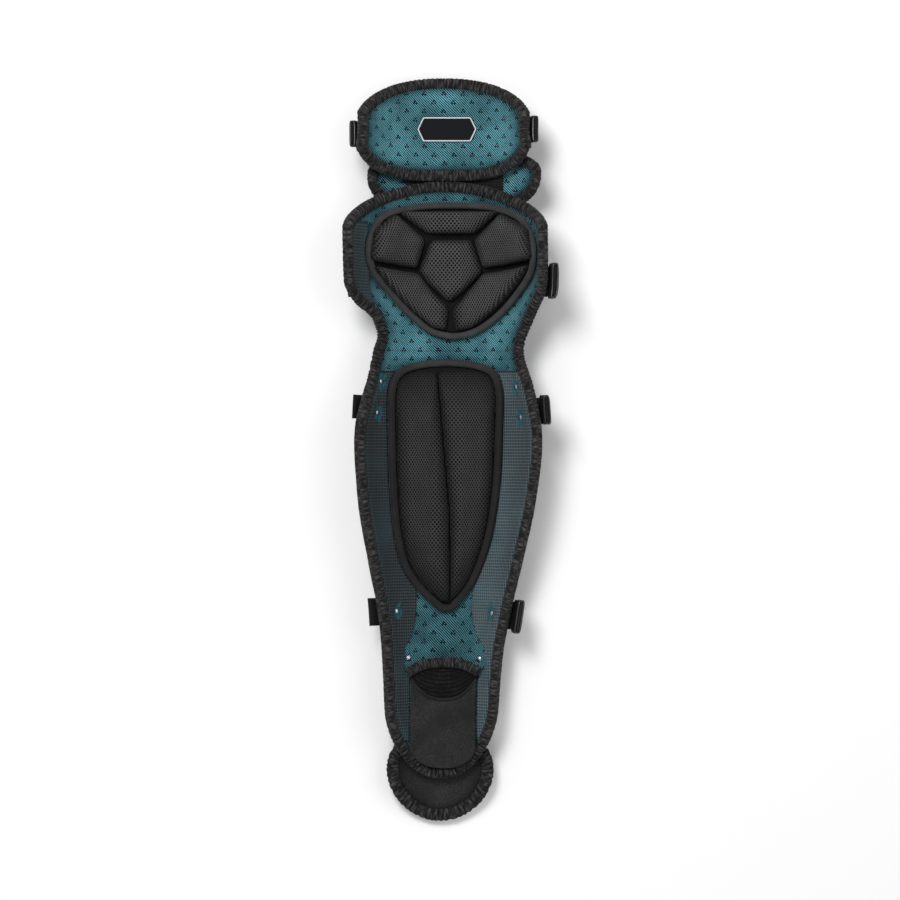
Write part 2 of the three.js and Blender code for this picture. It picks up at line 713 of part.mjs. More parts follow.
function addKneePad() {
  addPadBase('knee_pad', kneePadEdge, kneeTapeWidth, 24, [1, 0.76, 0.5, 0.25]);
  Object.entries(kneeCushionTable).forEach(([name, corners]) => {
    const points = corners.map(([x, y]) => {
      const [px, py] = kneePadSeen(x, y);
      return new THREE.Vector2(acrossAt(px, py, baseHigh + kneeCushionHeight / 2), py);
    });
    const path = THREE.ShapeUtils.area(points) > 0 ? points : points.reverse();
    const shape = evenly(inset(evenly(path, 120), seamWidth), 14);
    addCushion(`knee_cushion_${name}`, shape, kneeCushionHeight);
  });
}

function addShinPad() {
  addPadBase('shin_pad', shinPadEdge, shinTapeWidth, 30, [1, 0.7, 0.35]);
  const seam = (down) => seamTop + (seamTip - seamTop) * Math.min(down * 1.6, 1);
  const rows = rowsOf(0.05, 0.95, 0.08, 0.12, 0.15, 2);
  const body = inset(shinPadEdge, shinTapeWidth + seamWidth + padGap);
  ['left', 'right'].forEach((side) => {
    const at = (u, down) => {
      const [seamX, along] = shinPadSeen(seam(down), down);
      const aside = side === 'left' ? -seamWidth / 2 : seamWidth / 2;
      const middle = acrossAt(seamX, along, baseHigh + shinCushionHeight) + aside;
      const ends = span(body, along);
      const outer = side === 'left' ? Math.min(ends.left, middle - 1) : Math.max(ends.right, middle + 1);
      const share = (1 + u) / 2;
      const from = side === 'left' ? outer : middle;
      const to = side === 'left' ? middle : outer;
      return { across: from + (to - from) * share, along };
    };
    const low = baseHigh + cushionGap;
    const high = (u, down) => {
      const endShare = Math.abs((2 * (down - 0.05)) / 0.9 - 1);
      return low + shinCushionHeight * (0.15 + 0.85 * Math.sqrt((1 - u ** 4) * (1 - endShare ** 8)));
    };
    addSlab(`shin_cushion_${side}`, blackMesh, columnsOf(6), [...rows].reverse(), at, () => low, high);
  });
}

// Mesh strips sewn on the lining beside the shin pad and on the left knee wing
function addSideMeshes() {
  const body = inset(mainEdge, bindingWidth + 3);
  const low = linerThick + padGap;
  const reach = (outline, along, side) => {
    const ends = span(outline, along);
    return side < 0 ? -ends.left : ends.right;
  };
  const strip = (name, side, rows, pad, inner) => {
    const beside = (along) => Math.max(...[-stripStep, 0, stripStep].map((s) => reach(pad, along + s, side)));
    const at = (u, along) => {
      const outer = reach(body, along, side);
      const share = acrossShare(inner(along), along, low);
      const from = Math.min(Math.max(share, beside(along) + padGap), outer - 3);
      const part = side < 0 ? (1 - u) / 2 : (1 + u) / 2;
      return { across: side * (from + (outer - from) * part), along };
    };
    addSlab(name, sideMesh, columnsOf(3), rows, at, () => low, () => low + meshThick);
  };
  const shinRows = rowsBetween(legLength * 0.098, legLength * 0.68);
  [['left', -1], ['right', 1]].forEach(([name, side]) => {
    const inner = (along) => smooth(sideMeshTable, name, along / legLength);
    strip(`side_mesh_${name}`, side, shinRows, shinPadEdge, inner);
  });
  strip('wing_mesh_left', -1, rowsBetween(legLength * 0.8, legLength * 0.925), kneePadEdge, () => 0.755);
}

// Ankle: taped arch at the end of the lining, a pocket under it, and the smooth panel with its lip
function addAnkle() {
  const half = 36;
  const shift = 2;
  const archTop = legLength * 0.195;
  const archDrop = 7.5;
  const archWidth = 8.6;
  const archThick = 6.4;
  const panelRound = 22;
  const lipDrop = 28.5;
  const lipDepth = 16;
  const panelTop = archTop - lipDrop + lipDepth;
  const arch = (u) => archTop - archDrop * u * u;
  const lip = (u) => panelTop - lipDepth * (1 - u * u);
  const bottom = (u) => bindingWidth + 2.5 + panelRound * (1 - Math.sqrt(1 - 0.9 * u * u));
  const low = linerThick + padGap;
  const path = columnsOf(10).map((u) => new THREE.Vector2(shift + u * half, arch(u)));
  const lift = low + archThick / 2;
  const roll = { width: archWidth, thick: archThick, lift, sides: rollSides, gather: gatherDepth };
  addRoll('ankle_arch', blackBinding, path, roll, false);
  const side = half - 4;
  const pocketAt = (u, v) => {
    const from = lip(u) + 1;
    const to = arch(u) - archWidth / 2 - 1.5;
    return { across: shift + u * side * 0.92, along: from + (to - from) * v };
  };
  const pocketColumns = columnsOf(6).map((u) => u * 0.86);
  addSlab('ankle_pocket', blackCloth, pocketColumns, [0, 1], pocketAt, () => low, () => low + pocketThick);
  const lipThick = 2.4;
  const lipSlope = (u) => (2 * lipDepth * u) / side;
  const panelAt = (u, v) => {
    const from = bottom(u);
    const to = lip(u) - (lipThick / 2) * (1 + Math.hypot(1, lipSlope(u))) - layerGap;
    return { across: shift + u * side, along: from + (to - from) * v };
  };
  const panelHigh = (u, v) => low + panelThick * (Math.abs(u) === 1 || v === 0 ? 0.6 : 1);
  addSlab('ankle_panel', blackCloth, columnsOf(8), [0, 0.33, 0.66, 1], panelAt, () => low, panelHigh);
  const lipPath = columnsOf(8).map((u) => new THREE.Vector2(shift + u * side, lip(u) - lipThick / 2));
  const lipLift = low + panelThick / 2 + edgeGap;
  const lipRoll = { width: lipThick, thick: panelThick, lift: lipLift, sides: rollSides };
  addRoll('ankle_lip', greyTape, lipPath, lipRoll, false);
}

// Webbing straps round the outer side, and the slides at their ends
function addStraps() {
  strapTable.forEach((strap) => {
    const centre = strap.at * legLength;
    const valley = strap.rests ? section(centre).valley : null;
    const perSide = 8;
    const ends = { left: acrossAngle(strap.left, centre), right: acrossAngle(strap.right, centre) };
    const sideOf = (reach) => (k) => keelHalf + ((reach - keelHalf) * k) / perSide;
    const steps = Array.from({ length: perSide + 1 }, (_, k) => k);
    const leftColumns = steps.map(sideOf(ends.left)).reverse().map((reach) => -reach);
    const columns = [...leftColumns, ...steps.map(sideOf(ends.right))];
    const width = strapWidth * strap.share;
    const middle = (across) => centre + (strapSlant * strap.slant * across) / ends.right;
    const at = (across, v) => ({ across, along: middle(across) + (v * width) / 2 });
    const name = `strap_${strap.name}`;
    addSlab(name, blackWebbing, columns, [-1, 1], at, () => strapLow, () => strapHigh, valley);
    const slides = strap.ends === 'both' ? ['left', 'right'] : [strap.ends];
    slides.forEach((side) => {
      const tip = ends[side] - strapTail;
      const from = side === 'left' ? -tip : tip - slideLength;
      const reach = { from, to: from + slideLength };
      addSlide(`slide_${strap.name}_${side}`, reach, width, middle, valley);
    });
  });
}

// Eight corner points of a box with cut corners, as along and lift from its middle
function cutBox(width, height, corner) {
  const w = width / 2;
  const h = height / 2;
  const right = [[w - corner, -h], [w, -h + corner], [w, h - corner], [w - corner, h]];
  return [...right, ...right.map(([x, y]) => [-x, -y])];
}

// Plastic slide: a short sleeve that the strap runs through, bent with the strap
function addSlide(name, ends, width, middle, valley) {
  const holeWidth = width + 2 * slideClearance;
  const holeHeight = strapThick + 2 * slideClearance;
  const hole = cutBox(holeWidth, holeHeight, edgeGap);
  const outer = cutBox(holeWidth + 2 * slideWall, holeHeight + 2 * slideWall, slideCorner);
  const lift = (strapLow + strapHigh) / 2;
  const steps = [0, 0.5, 1].map((share) => ends.from + (ends.to - ends.from) * share);
  const vertices = [];
  steps.forEach((across) => {
    [outer, hole].forEach((loop) => {
      loop.forEach(([aside, height]) => {
        vertices.push(place(across, middle(across) + aside, lift + height, valley));
      });
    });
  });
  const count = outer.length;
  const index = (i, loop, k) => (2 * i + loop) * count + (k % count);
  const last = steps.length - 1;
  const faces = [];
  for (let k = 0; k < count; k += 1) {
    for (let i = 0; i < last; i += 1) {
      faces.push(...quad(index(i, 0, k), index(i, 0, k + 1), index(i + 1, 0, k + 1), index(i + 1, 0, k)));
      faces.push(...quad(index(i + 1, 1, k), index(i + 1, 1, k + 1), index(i, 1, k + 1), index(i, 1, k)));
    }
    faces.push(...quad(index(0, 1, k), index(0, 1, k + 1), index(0, 0, k + 1), index(0, 0, k)));
    faces.push(...quad(index(last, 0, k), index(last, 0, k + 1), index(last, 1, k + 1), index(last, 1, k)));
  }
  addMesh(name, vertices, faces, blackPlastic);
}

function addRivets() {
  rivetTable.forEach((rivet) => {
    const along = rivet.at * legLength;
    const lift = linerThick + padGap + (rivet.mesh ? meshThick + layerGap : 0);
    const across = acrossShare(rivet.across, along, lift);
    const spot = place(across, along, lift);
    const normal = place(across, along, lift + 1).sub(spot).normalize();
    const profile = [
      new THREE.Vector2(0, 0),
      new THREE.Vector2(rivetRadius, 0),
      new THREE.Vector2(rivetRadius, rivetHeight * 0.4),
      new THREE.Vector2(rivetRadius * 0.6, rivetHeight),
      new THREE.Vector2(0, rivetHeight),
    ];
    const geometry = new THREE.LatheGeometry(profile, 7);
    const mesh = new THREE.Mesh(geometry, new THREE.MeshStandardMaterial(rivetMetal));
    mesh.name = `rivet_${rivet.name}`;
    mesh.position.copy(spot);
    mesh.quaternion.setFromUnitVectors(new THREE.Vector3(0, 1, 0), normal);
    guard.add(mesh);
  });
}

addThighGuard();
addKneeFlap();
addLinkBand();
addMainLiner();
addShells();
addKneePad();
addShinPad();
addSideMeshes();
addAnkle();
addToeFlap();
addStraps();
addRivets();

// The origin lies under the middle of the guard, on the surface that it rests on
const bounds = new THREE.Box3().setFromObject(guard, true);
const middle = bounds.getCenter(new THREE.Vector3());
guard.position.set(-middle.x, -middle.y, -bounds.min.z);
root.updateMatrixWorld(true);

export default root;
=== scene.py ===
import math

import bmesh
import bpy
import numpy as np
from bpy.props import FloatProperty, FloatVectorProperty, IntProperty, PointerProperty
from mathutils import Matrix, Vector


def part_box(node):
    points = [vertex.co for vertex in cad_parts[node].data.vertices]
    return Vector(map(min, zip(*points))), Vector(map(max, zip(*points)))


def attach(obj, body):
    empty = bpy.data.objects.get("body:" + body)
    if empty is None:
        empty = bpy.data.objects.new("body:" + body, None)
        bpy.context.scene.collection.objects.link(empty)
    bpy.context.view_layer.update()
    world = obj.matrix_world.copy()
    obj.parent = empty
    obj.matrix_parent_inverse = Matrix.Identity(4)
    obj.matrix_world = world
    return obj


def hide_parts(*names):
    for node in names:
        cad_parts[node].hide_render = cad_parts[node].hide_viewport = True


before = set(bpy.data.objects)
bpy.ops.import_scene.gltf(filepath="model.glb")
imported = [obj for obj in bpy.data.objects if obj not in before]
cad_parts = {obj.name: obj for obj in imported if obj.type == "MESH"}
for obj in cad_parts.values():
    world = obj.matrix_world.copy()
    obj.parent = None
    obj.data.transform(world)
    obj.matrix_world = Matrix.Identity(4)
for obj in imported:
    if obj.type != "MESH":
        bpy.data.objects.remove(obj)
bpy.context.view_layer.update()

bl_info = {
    "name": "Catcher leg guard",
    "version": (1, 0, 0),
    "blender": (4, 5, 0),
    "location": "View3D > Sidebar > Leg guard",
    "description": "Cloth, pads, plates, straps and rivets of a catcher's leg guard on its packed frame",
    "category": "Object",
}

# Every piece lies on one trough-shaped leg form. A place on it has three numbers: across (arc length
# from the middle of the valley), along (up the leg) and lift (towards the leg). Lengths are metres.
ORIGIN = np.array([-0.0027276, -0.2643723, 0.0])

# Share of the leg, half width (a size and its share), wrap (a size and its share), sideways shift and
# rise of the valley, both in shares of the knee's half width
FORM_ROWS = (
    (-0.074, ("toe_half", 1.04), ("toe_wrap", 1.0), -0.069, 0.105),
    (0.006, ("toe_half", 1.06), ("toe_wrap", 1.04), -0.061, 0.1),
    (0.095, ("ankle_half", 0.975), ("ankle_wrap", 0.9), -0.056, 0.08),
    (0.204, ("ankle_half", 1.03), ("ankle_wrap", 0.96), -0.045, 0.022),
    (0.277, ("ankle_half", 1.125), ("ankle_wrap", 1.0), -0.026, 0.0),
    (0.365, ("calf_half", 0.829), ("calf_wrap", 0.96), -0.015, 0.012),
    (0.47, ("calf_half", 0.952), ("calf_wrap", 0.99), 0.0, 0.033),
    (0.563, ("calf_half", 1.0), ("calf_wrap", 1.0), 0.013, 0.047),
    (0.62, ("calf_half", 0.972), ("calf_wrap", 1.0), 0.013, 0.049),
    (0.717, ("neck_half", 1.0), ("knee_wrap", 0.96), 0.013, 0.03),
    (0.765, ("neck_half", 1.066), ("knee_wrap", 0.98), 0.008, 0.013),
    (0.83, ("knee_half", 0.995), ("knee_wrap", 1.0), -0.01, 0.0),
    (0.925, ("knee_half", 1.0), ("knee_wrap", 0.98), -0.018, 0.085),
    (1.0, ("knee_half", 0.93), ("knee_wrap", 0.88), -0.02, 0.155),
    (1.082, ("thigh_half", 1.015), ("thigh_wrap", 1.0), -0.034, 0.075),
    (1.178, ("thigh_half", 1.03), ("thigh_wrap", 0.95), -0.034, 0.03),
)

# Where the main liner's edge leaves the form: share of the leg, left and right share of the half width
EDGE_ROWS = (
    (0.59, 1.0, 1.0),
    (0.631, 0.975, 0.985),
    (0.664, 0.945, 0.965),
    (0.717, 0.9, 0.905),
    (0.746, 0.83, 0.93),
    (0.765, 0.835, 0.955),
    (0.796, 0.965, 0.985),
    (0.83, 1.0, 1.0),
)

# How strongly the main binding is gathered along the leg, and the pitch of its pleats
RUFFLE_ROWS = (
    (0.0, 1.0, 0.0034),
    (0.05, 0.9, 0.0034),
    (0.1, 0.16, 0.006),
    (0.6, 0.12, 0.007),
    (0.66, 0.55, 0.0042),
    (0.72, 1.0, 0.0036),
    (0.78, 0.85, 0.0036),
    (0.84, 0.35, 0.005),
    (0.93, 0.4, 0.004),
    (0.975, 0.85, 0.003),
)

# Outline of the knee pad: shares of its half width and of its rise or drop
KNEE_PAD_ROWS = (
    (0, 1), (-0.5, 0.95), (-0.82, 0.8), (-0.965, 0.47), (-1, 0.12), (-0.93, -0.17), (-0.73, -0.44),
    (-0.47, -0.74), (-0.24, -0.93), (0.05, -1), (0.34, -0.92), (0.62, -0.7), (0.84, -0.42),
    (0.97, -0.18), (1, 0.1), (0.97, 0.45), (0.84, 0.76), (0.52, 0.95),
)

# Corners of the six knee cushions, in the same shares
KNEE_CUSHION_ROWS = {
    "centre": ((-0.22, 0.36), (-0.37, -0.12), (-0.02, -0.5), (0.37, -0.12), (0.24, 0.36)),
    "top": ((-0.6, 0.82), (-0.28, 0.5), (0.28, 0.5), (0.54, 0.82)),
    "upper_left": ((-0.65, 0.78), (-0.88, 0.5), (-0.92, 0.04), (-0.41, -0.06), (-0.31, 0.37)),
    "upper_right": ((0.58, 0.78), (0.29, 0.37), (0.39, -0.06), (0.92, 0.05), (0.88, 0.5)),
    "lower_left": ((-0.88, -0.07), (-0.68, -0.36), (-0.42, -0.64), (-0.2, -0.84), (-0.06, -0.87), (-0.04, -0.6),
                   (-0.39, -0.155)),
    "lower_right": ((0.89, -0.07), (0.39, -0.155), (0.04, -0.6), (0.07, -0.87), (0.24, -0.84), (0.5, -0.62),
                    (0.74, -0.33)),
}

# Outline of the shin pad from top to tip: share of its length, left and right share of its half width
SHIN_PAD_ROWS = (
    (0, 0.36, 0.4), (0.035, 0.82, 0.86), (0.1, 0.975, 1), (0.3, 1, 1.01), (0.5, 0.975, 0.965),
    (0.7, 0.89, 0.83), (0.82, 0.76, 0.66), (0.9, 0.55, 0.5), (0.96, 0.3, 0.3), (1, 0.08, 0.13),
)

# Inner edges of the mesh strips: share of the leg, left and right share of the half width;
# beside a pad they end a gap away from it
SIDE_MESH_ROWS = (
    (0.078, 0.3, 0.3), (0.15, 0.3, 0.3), (0.172, 0.58, 0.66), (0.19, 0.63, 0.71), (0.222, 0.6, 0.66),
    (0.24, 0.5, 0.53), (0.282, 0.425, 0.415), (0.317, 0.4, 0.4),
)

# Straps: share of the leg, share of the strap width, angle of the left and right end, share of the
# strap slant, rests on the floor, slides
STRAP_ROWS = {
    "thigh": (1.08, 0.71, 64, 65, 1.0, False, ("left", "right")),
    "knee": (0.83, 1.0, 62, 84, 0.0, True, ("right",)),
    "shin": (0.62, 0.79, 71, 82, -0.75, False, ("right",)),
    "ankle": (0.277, 0.92, 78, 85, -1.0, True, ("right",)),
}

# Rivets: share of the leg, share of the form's half width, whether it goes through a mesh strip
RIVET_ROWS = {
    "calf_left_upper": (0.665, -0.76, True),
    "calf_left_lower": (0.613, -0.77, True),
    "calf_right_upper": (0.656, 0.76, True),
    "calf_right_lower": (0.605, 0.78, True),
    "shin_left": (0.281, -0.7, True),
    "shin_right": (0.278, 0.7, True),
    "ankle_left": (0.202, -0.55, False),
    "ankle_right": (0.201, 0.6, False),
}

KNEE_PAD_SHIFT = 0.0028     # sideways place of the knee pad
KNEE_PAD_CENTRE = 0.864     # centre of the knee pad, as a share of the leg
SHIN_PAD_SHIFT = -0.0015    # sideways place of the shin pad
SHIN_PAD_TOP = 0.7          # top of the shin pad, as a share of the leg
BODY_SHARE = 0.86       # share of the binding's width at which the main lining ends under it
EDGE_SOFT = 0.006       # width over which a lining swells from its pinched edge
PLATE_ROUND = 0.003     # radius of the rounded edges of the plates
NORMAL_STEP = 0.001     # small lift that gives the direction away from the form
CLOTH_VOXEL = 0.0017    # face size of the cushions before they are puffed
CLOTH_FRAMES = 20       # length of the cloth simulation
CLOTH_PRESSURE = 4.0    # air in a cushion
SEAM_LIFT = 0.0008      # a cushion is held at its seam up to this height
THREAD_SINK = 0.00005   # how far the stitches sink into their tape
SEAM_SHARE = 0.62       # place of the stitches, as a share of the tape's width
FLOOR_HALF = 4.0        # half the width of the floor
SENSOR = 36             # width of the camera's sensor in millimetres
TEAL_HOLES = ((0, -0.0011), (0.0012, 0.0007), (-0.0012, 0.0007))    # places of one group of perforations
TEAL_HOLE = (0.016, 0.0071, 0.00085, 0.0003)    # pitch across, pitch along, radius and soft edge
MESH_HOLE_PITCH = (0.0031, 0.00185)             # holes of the mesh on the pads, across and along


def length(name, default, description):
    return FloatProperty(name=name, description=description, default=default, unit="LENGTH", precision=5)


def wrap_angle(name, default, description):
    return FloatProperty(name=name, description=description, default=math.radians(default), unit="ROTATION")


def tone(red, green, blue):
    """Linear colour of an 8-bit screen colour."""
    shares = (v / 255 for v in (red, green, blue))
    return tuple(v / 12.92 if v <= 0.04045 else ((v + 0.055) / 1.055) ** 2.4 for v in shares)


def tint(name, default, description):
    return FloatVectorProperty(name=name, description=description, default=default, subtype="COLOR",
                               size=3, min=0, max=1)


class GuardSizes(bpy.types.PropertyGroup):
    """Sizes of the guard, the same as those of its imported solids."""
    leg_length: length("Leg length", 0.4795, "Main liner from its ankle end to its knee end")
    knee_half: length("Knee half width", 0.0815, "Half the width at the knee")
    neck_half: length("Neck half width", 0.068, "Half the width below the knee")
    calf_half: length("Calf half width", 0.0748, "Half the width at the calf")
    ankle_half: length("Ankle half width", 0.0475, "Half the width at the ankle")
    thigh_half: length("Thigh half width", 0.0684, "Half the width of the thigh guard")
    thigh_height: length("Thigh height", 0.084, "Height of the thigh guard")
    flap_half: length("Flap half width", 0.069, "Half the width of the knee flap")
    flap_rise: length("Flap rise", 0.0235, "Knee flap above its centre")
    flap_drop: length("Flap drop", 0.033, "Knee flap below its centre")
    flap_shift: length("Flap shift", 0.0052, "Sideways shift of the knee flap")
    toe_half: length("Toe half width", 0.0435, "Half the width of the toe flap")
    toe_rise: length("Toe rise", 0.0368, "Toe flap above its centre")
    toe_drop: length("Toe drop", 0.0432, "Toe flap below its centre")
    knee_dome: length("Knee dome", 0.0387, "Length of the oval knee end")
    ankle_dome: length("Ankle dome", 0.0598, "Length of the oval ankle end")
    knee_wrap: wrap_angle("Knee wrap", 82, "How far the knee part wraps round the leg")
    calf_wrap: wrap_angle("Calf wrap", 80, "How far the calf part wraps round the leg")
    ankle_wrap: wrap_angle("Ankle wrap", 74, "How far the ankle part wraps round the leg")
    thigh_wrap: wrap_angle("Thigh wrap", 66, "How far the thigh guard wraps round the leg")
    toe_wrap: wrap_angle("Toe wrap", 60, "How far the toe flap wraps round the foot")
    keel_half: length("Keel half width", 0.012, "Half of the flat bottom of the valley")
    liner_thick: length("Liner thickness", 0.007, "Padded lining of knee, shin and thigh")
    binding_width: length("Binding width", 0.0094, "Edge binding seen from above")
    binding_thick: length("Binding thickness", 0.0086, "Edge binding seen from the side")
    shell_thick: length("Plate thickness", 0.003, "Hard outer plates")
    flap_liner_thick: length("Flap liner thickness", 0.0045, "Lining of the knee flap and the toe flap")
    flap_binding_thick: length("Flap binding thickness", 0.0068, "Binding of the two flaps")
    flap_shell_thick: length("Flap plate thickness", 0.0017, "Plates of the two flaps")
    strap_width: length("Strap width", 0.024, "Width of the knee strap, the widest one")
    strap_slant: length("Strap slant", 0.002, "How far the ends of the thigh strap stand off its middle")
    strap_thick: length("Strap thickness", 0.0016, "Webbing of the straps")
    layer_gap: length("Layer gap", 0.00075, "Space between plates and linings")
    pad_gap: length("Pad gap", 0.001, "Space between sewn layers")
    strap_gap: length("Strap gap", 0.0009, "Space between straps and plates")
    shell_inset: length("Plate inset", 0.012, "From the edge of the liner to the edge of its plate")
    pad_base_thick: length("Pad backing", 0.0025, "Backing of the pads")
    knee_pad_half: length("Knee pad half width", 0.066, "Half the width of the knee pad")
    knee_pad_rise: length("Knee pad rise", 0.048, "Knee pad above its centre")
    knee_pad_drop: length("Knee pad drop", 0.0616, "Knee pad below its centre")
    knee_cushion_height: length("Knee cushion height", 0.011, "Height of the knee cushions")
    knee_tape_width: length("Knee tape width", 0.0053, "Tape round the knee pad")
    shin_pad_half: length("Shin pad half width", 0.0444, "Half the width of the shin pad")
    shin_pad_length: length("Shin pad length", 0.2008, "Length of the shin pad")
    shin_cushion_height: length("Shin cushion height", 0.01, "Height of the shin cushions")
    shin_tape_width: length("Shin tape width", 0.0059, "Tape round the shin pad")
    tape_thick: length("Tape thickness", 0.0046, "Tape round the pads")
    mesh_thick: length("Mesh thickness", 0.001, "Mesh strips on the lining")
    slide_length: length("Slide length", 0.012, "Length of the plastic slides")
    slide_wall: length("Slide wall", 0.0018, "Wall of the plastic slides")
    rivet_radius: length("Rivet radius", 0.0022, "Radius of the rivet heads")
    rivet_height: length("Rivet height", 0.0009, "Height of the rivet heads")


class GuardLook(bpy.types.PropertyGroup):
    """Colours of the guard's cloths, tapes and plates, and its stitching."""
    teal_dark: tint("Teal ground", tone(2, 24, 31), "Ground threads of the teal lining")
    teal_light: tint("Teal face", tone(122, 196, 211), "Face threads of the teal lining")
    perforation: tint("Perforation", tone(3, 12, 17), "Small holes of the teal lining")
    binding: tint("Binding", tone(27, 26, 26), "Gathered edge binding")
    air_mesh: tint("Air mesh", tone(94, 94, 94), "Face of the mesh on the pads")
    mesh_hole: tint("Mesh holes", tone(3, 3, 3), "Holes of the mesh on the pads")
    tape: tint("Pad tape", tone(66, 65, 67), "Tape round the pads")
    side_thread: tint("Side mesh thread", tone(56, 60, 62), "Threads of the mesh strips")
    side_hole: tint("Side mesh holes", tone(26, 76, 88), "Lining seen through the mesh strips")
    smooth_cloth: tint("Smooth cloth", tone(33, 33, 34), "Panel over the instep and toe flap")
    webbing: tint("Webbing", tone(27, 27, 28), "Straps and link band")
    shell: tint("Plates", tone(14, 14, 16), "Hard outer plates")
    plastic: tint("Slides", tone(17, 17, 18), "Plastic slides of the straps")
    rivet: tint("Rivets", tone(206, 216, 218), "Rivet heads")
    label: tint("Label", tone(16, 18, 21), "Plain patch on the thigh lining")
    thread: tint("Thread", tone(66, 66, 68), "Stitches")
    floor: tint("Floor", tone(236, 236, 236), "Pale floor")
    stitch_pitch: length("Stitch pitch", 0.0032, "Distance between stitches")
    stitch_length: length("Stitch length", 0.0021, "Length of one stitch")
    stitch_width: length("Stitch width", 0.00052, "Thickness of the thread")
    camera_height: length("Camera height", 3.2, "Camera above the middle of the guard")
    view_width: length("View width", 0.72, "Width of floor that the camera sees")
    seed: IntProperty(name="Seed", description="Start of all irregular folds", default=7, min=0)


def sizes():
    return bpy.context.scene.guard_sizes


def look():
    return bpy.context.scene.guard_look


def smooth(rows, column, at):
    """Values of one column at shares of the leg, level at the ends and without overshoot."""
    x = np.array([row[0] for row in rows], float)
    y = np.array(column, float)
    slope = np.diff(y) / np.diff(x)
    tangent = np.zeros_like(y)
    inner = slope[:-1] * slope[1:] > 0
    tangent[1:-1][inner] = 2 / (1 / slope[:-1][inner] + 1 / slope[1:][inner])
    at = np.clip(at, x[0], x[-1])
    i = np.clip(np.searchsorted(x, at, side="right") - 1, 0, len(x) - 2)
    span_width = x[i + 1] - x[i]
    t = (at - x[i]) / span_width
    start = y[i] * (1 + 2 * t) * (1 - t) ** 2 + tangent[i] * span_width * t * (1 - t) ** 2
    return start + y[i + 1] * t * t * (3 - 2 * t) - tangent[i + 1] * span_width * t * t * (1 - t)


def section(along):
    """Half width, arc radius, sideways shift and valley height of the form."""
    s = sizes()
    at = np.asarray(along, float) / s.leg_length
    half = smooth(FORM_ROWS, [getattr(s, row[1][0]) * row[1][1] for row in FORM_ROWS], at)
    wrap = smooth(FORM_ROWS, [getattr(s, row[2][0]) * row[2][1] for row in FORM_ROWS], at)
    shift = smooth(FORM_ROWS, [row[3] for row in FORM_ROWS], at) * s.knee_half
    valley = valley_floor() + smooth(FORM_ROWS, [row[4] for row in FORM_ROWS], at) * s.knee_half
    return half, wrap, (half - s.keel_half) / np.sin(wrap), shift, valley


def place(across, along, lift, valley=None):
    """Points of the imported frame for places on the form."""
    across, along, lift = np.broadcast_arrays(*(np.asarray(v, float) for v in (across, along, lift)))
    keel = sizes().keel_half
    _, _, radius, shift, floor = section(along)
    angle = np.maximum(np.abs(across) - keel, 0) / radius
    flat = np.minimum(np.abs(across), keel)
    x = np.sign(across) * (flat + (radius - lift) * np.sin(angle))
    z = radius - (radius - lift) * np.cos(angle)
    return np.stack([shift + x, along, (floor if valley is None else valley) + z], -1) + ORIGIN


def across_at(x, along, lift=0.0):
    """Across of a point of some lift that is seen at x from straight above."""
    x, along = np.broadcast_arrays(np.asarray(x, float), np.asarray(along, float))
    keel = sizes().keel_half
    _, wrap, radius, shift, _ = section(along)
    side = x - shift
    sine = np.minimum(np.maximum(np.abs(side) - keel, 0) / (radius - lift), np.sin(wrap))
    return np.where(np.abs(side) <= keel, side, np.sign(side) * (keel + radius * np.arcsin(sine)))


def across_share(share, along, lift=0.0):
    half, _, _, shift, _ = section(along)
    return across_at(shift + share * half, along, lift)


def across_angle(degrees, along):
    return sizes().keel_half + section(along)[2] * math.radians(degrees)


def shell_high():
    return -sizes().layer_gap


def shell_low():
    return shell_high() - sizes().shell_thick


def strap_high():
    return shell_low() - sizes().strap_gap


def strap_low():
    return strap_high() - sizes().strap_thick


def valley_floor():
    return -strap_low()


def flap_high():
    s = sizes()
    return shell_low() - s.layer_gap - s.flap_binding_thick / 2 + s.flap_liner_thick / 2


def flap_low():
    return flap_high() - sizes().flap_liner_thick


def pad_low():
    return sizes().liner_thick + sizes().pad_gap


def base_high():
    return pad_low() + sizes().pad_base_thick


def cushion_low():
    return base_high() + 1.4 * sizes().pad_gap


def wander(x, y, pitch, seed):
    """Smooth irregular values from -1 to 1 over a plane, with a pitch in x and one in y."""
    table = np.random.RandomState(look().seed + seed).uniform(-1, 1, (64, 64))
    px, py = np.asarray(x, float) / pitch[0], np.asarray(y, float) / pitch[1]
    px, py = np.broadcast_arrays(px, py)
    ix, iy = np.floor(px).astype(int), np.floor(py).astype(int)
    fx, fy = px - ix, py - iy
    fx, fy = fx * fx * (3 - 2 * fx), fy * fy * (3 - 2 * fy)

    def corner(dx, dy):
        return table[(ix + dx) % 64, (iy + dy) % 64]
    low = corner(0, 0) * (1 - fx) + corner(1, 0) * fx
    high = corner(0, 1) * (1 - fx) + corner(1, 1) * fx
    return low * (1 - fy) + high * fy


def pleat(reach, pitch, seed, slant=0.0):
    """Height of pleats from 0 in the creases to 1 on the folds, along an edge."""
    phase = np.pi * reach / pitch + slant + 1.6 * wander(reach, 0 * reach, (pitch * 5, 1), seed)
    return np.abs(np.sin(phase)) ** 0.7


def inset(outline, distance):
    """Outline moved inwards by a distance."""
    tangent = np.roll(outline, -1, 0) - np.roll(outline, 1, 0)
    tangent /= np.linalg.norm(tangent, axis=1, keepdims=True)
    return outline + np.stack([-tangent[:, 1], tangent[:, 0]], 1) * distance


def reach_of(outline, closed=True):
    loop = np.vstack([outline, outline[:1]]) if closed else outline
    return np.concatenate([[0], np.cumsum(np.linalg.norm(np.diff(loop, axis=0), axis=1))])


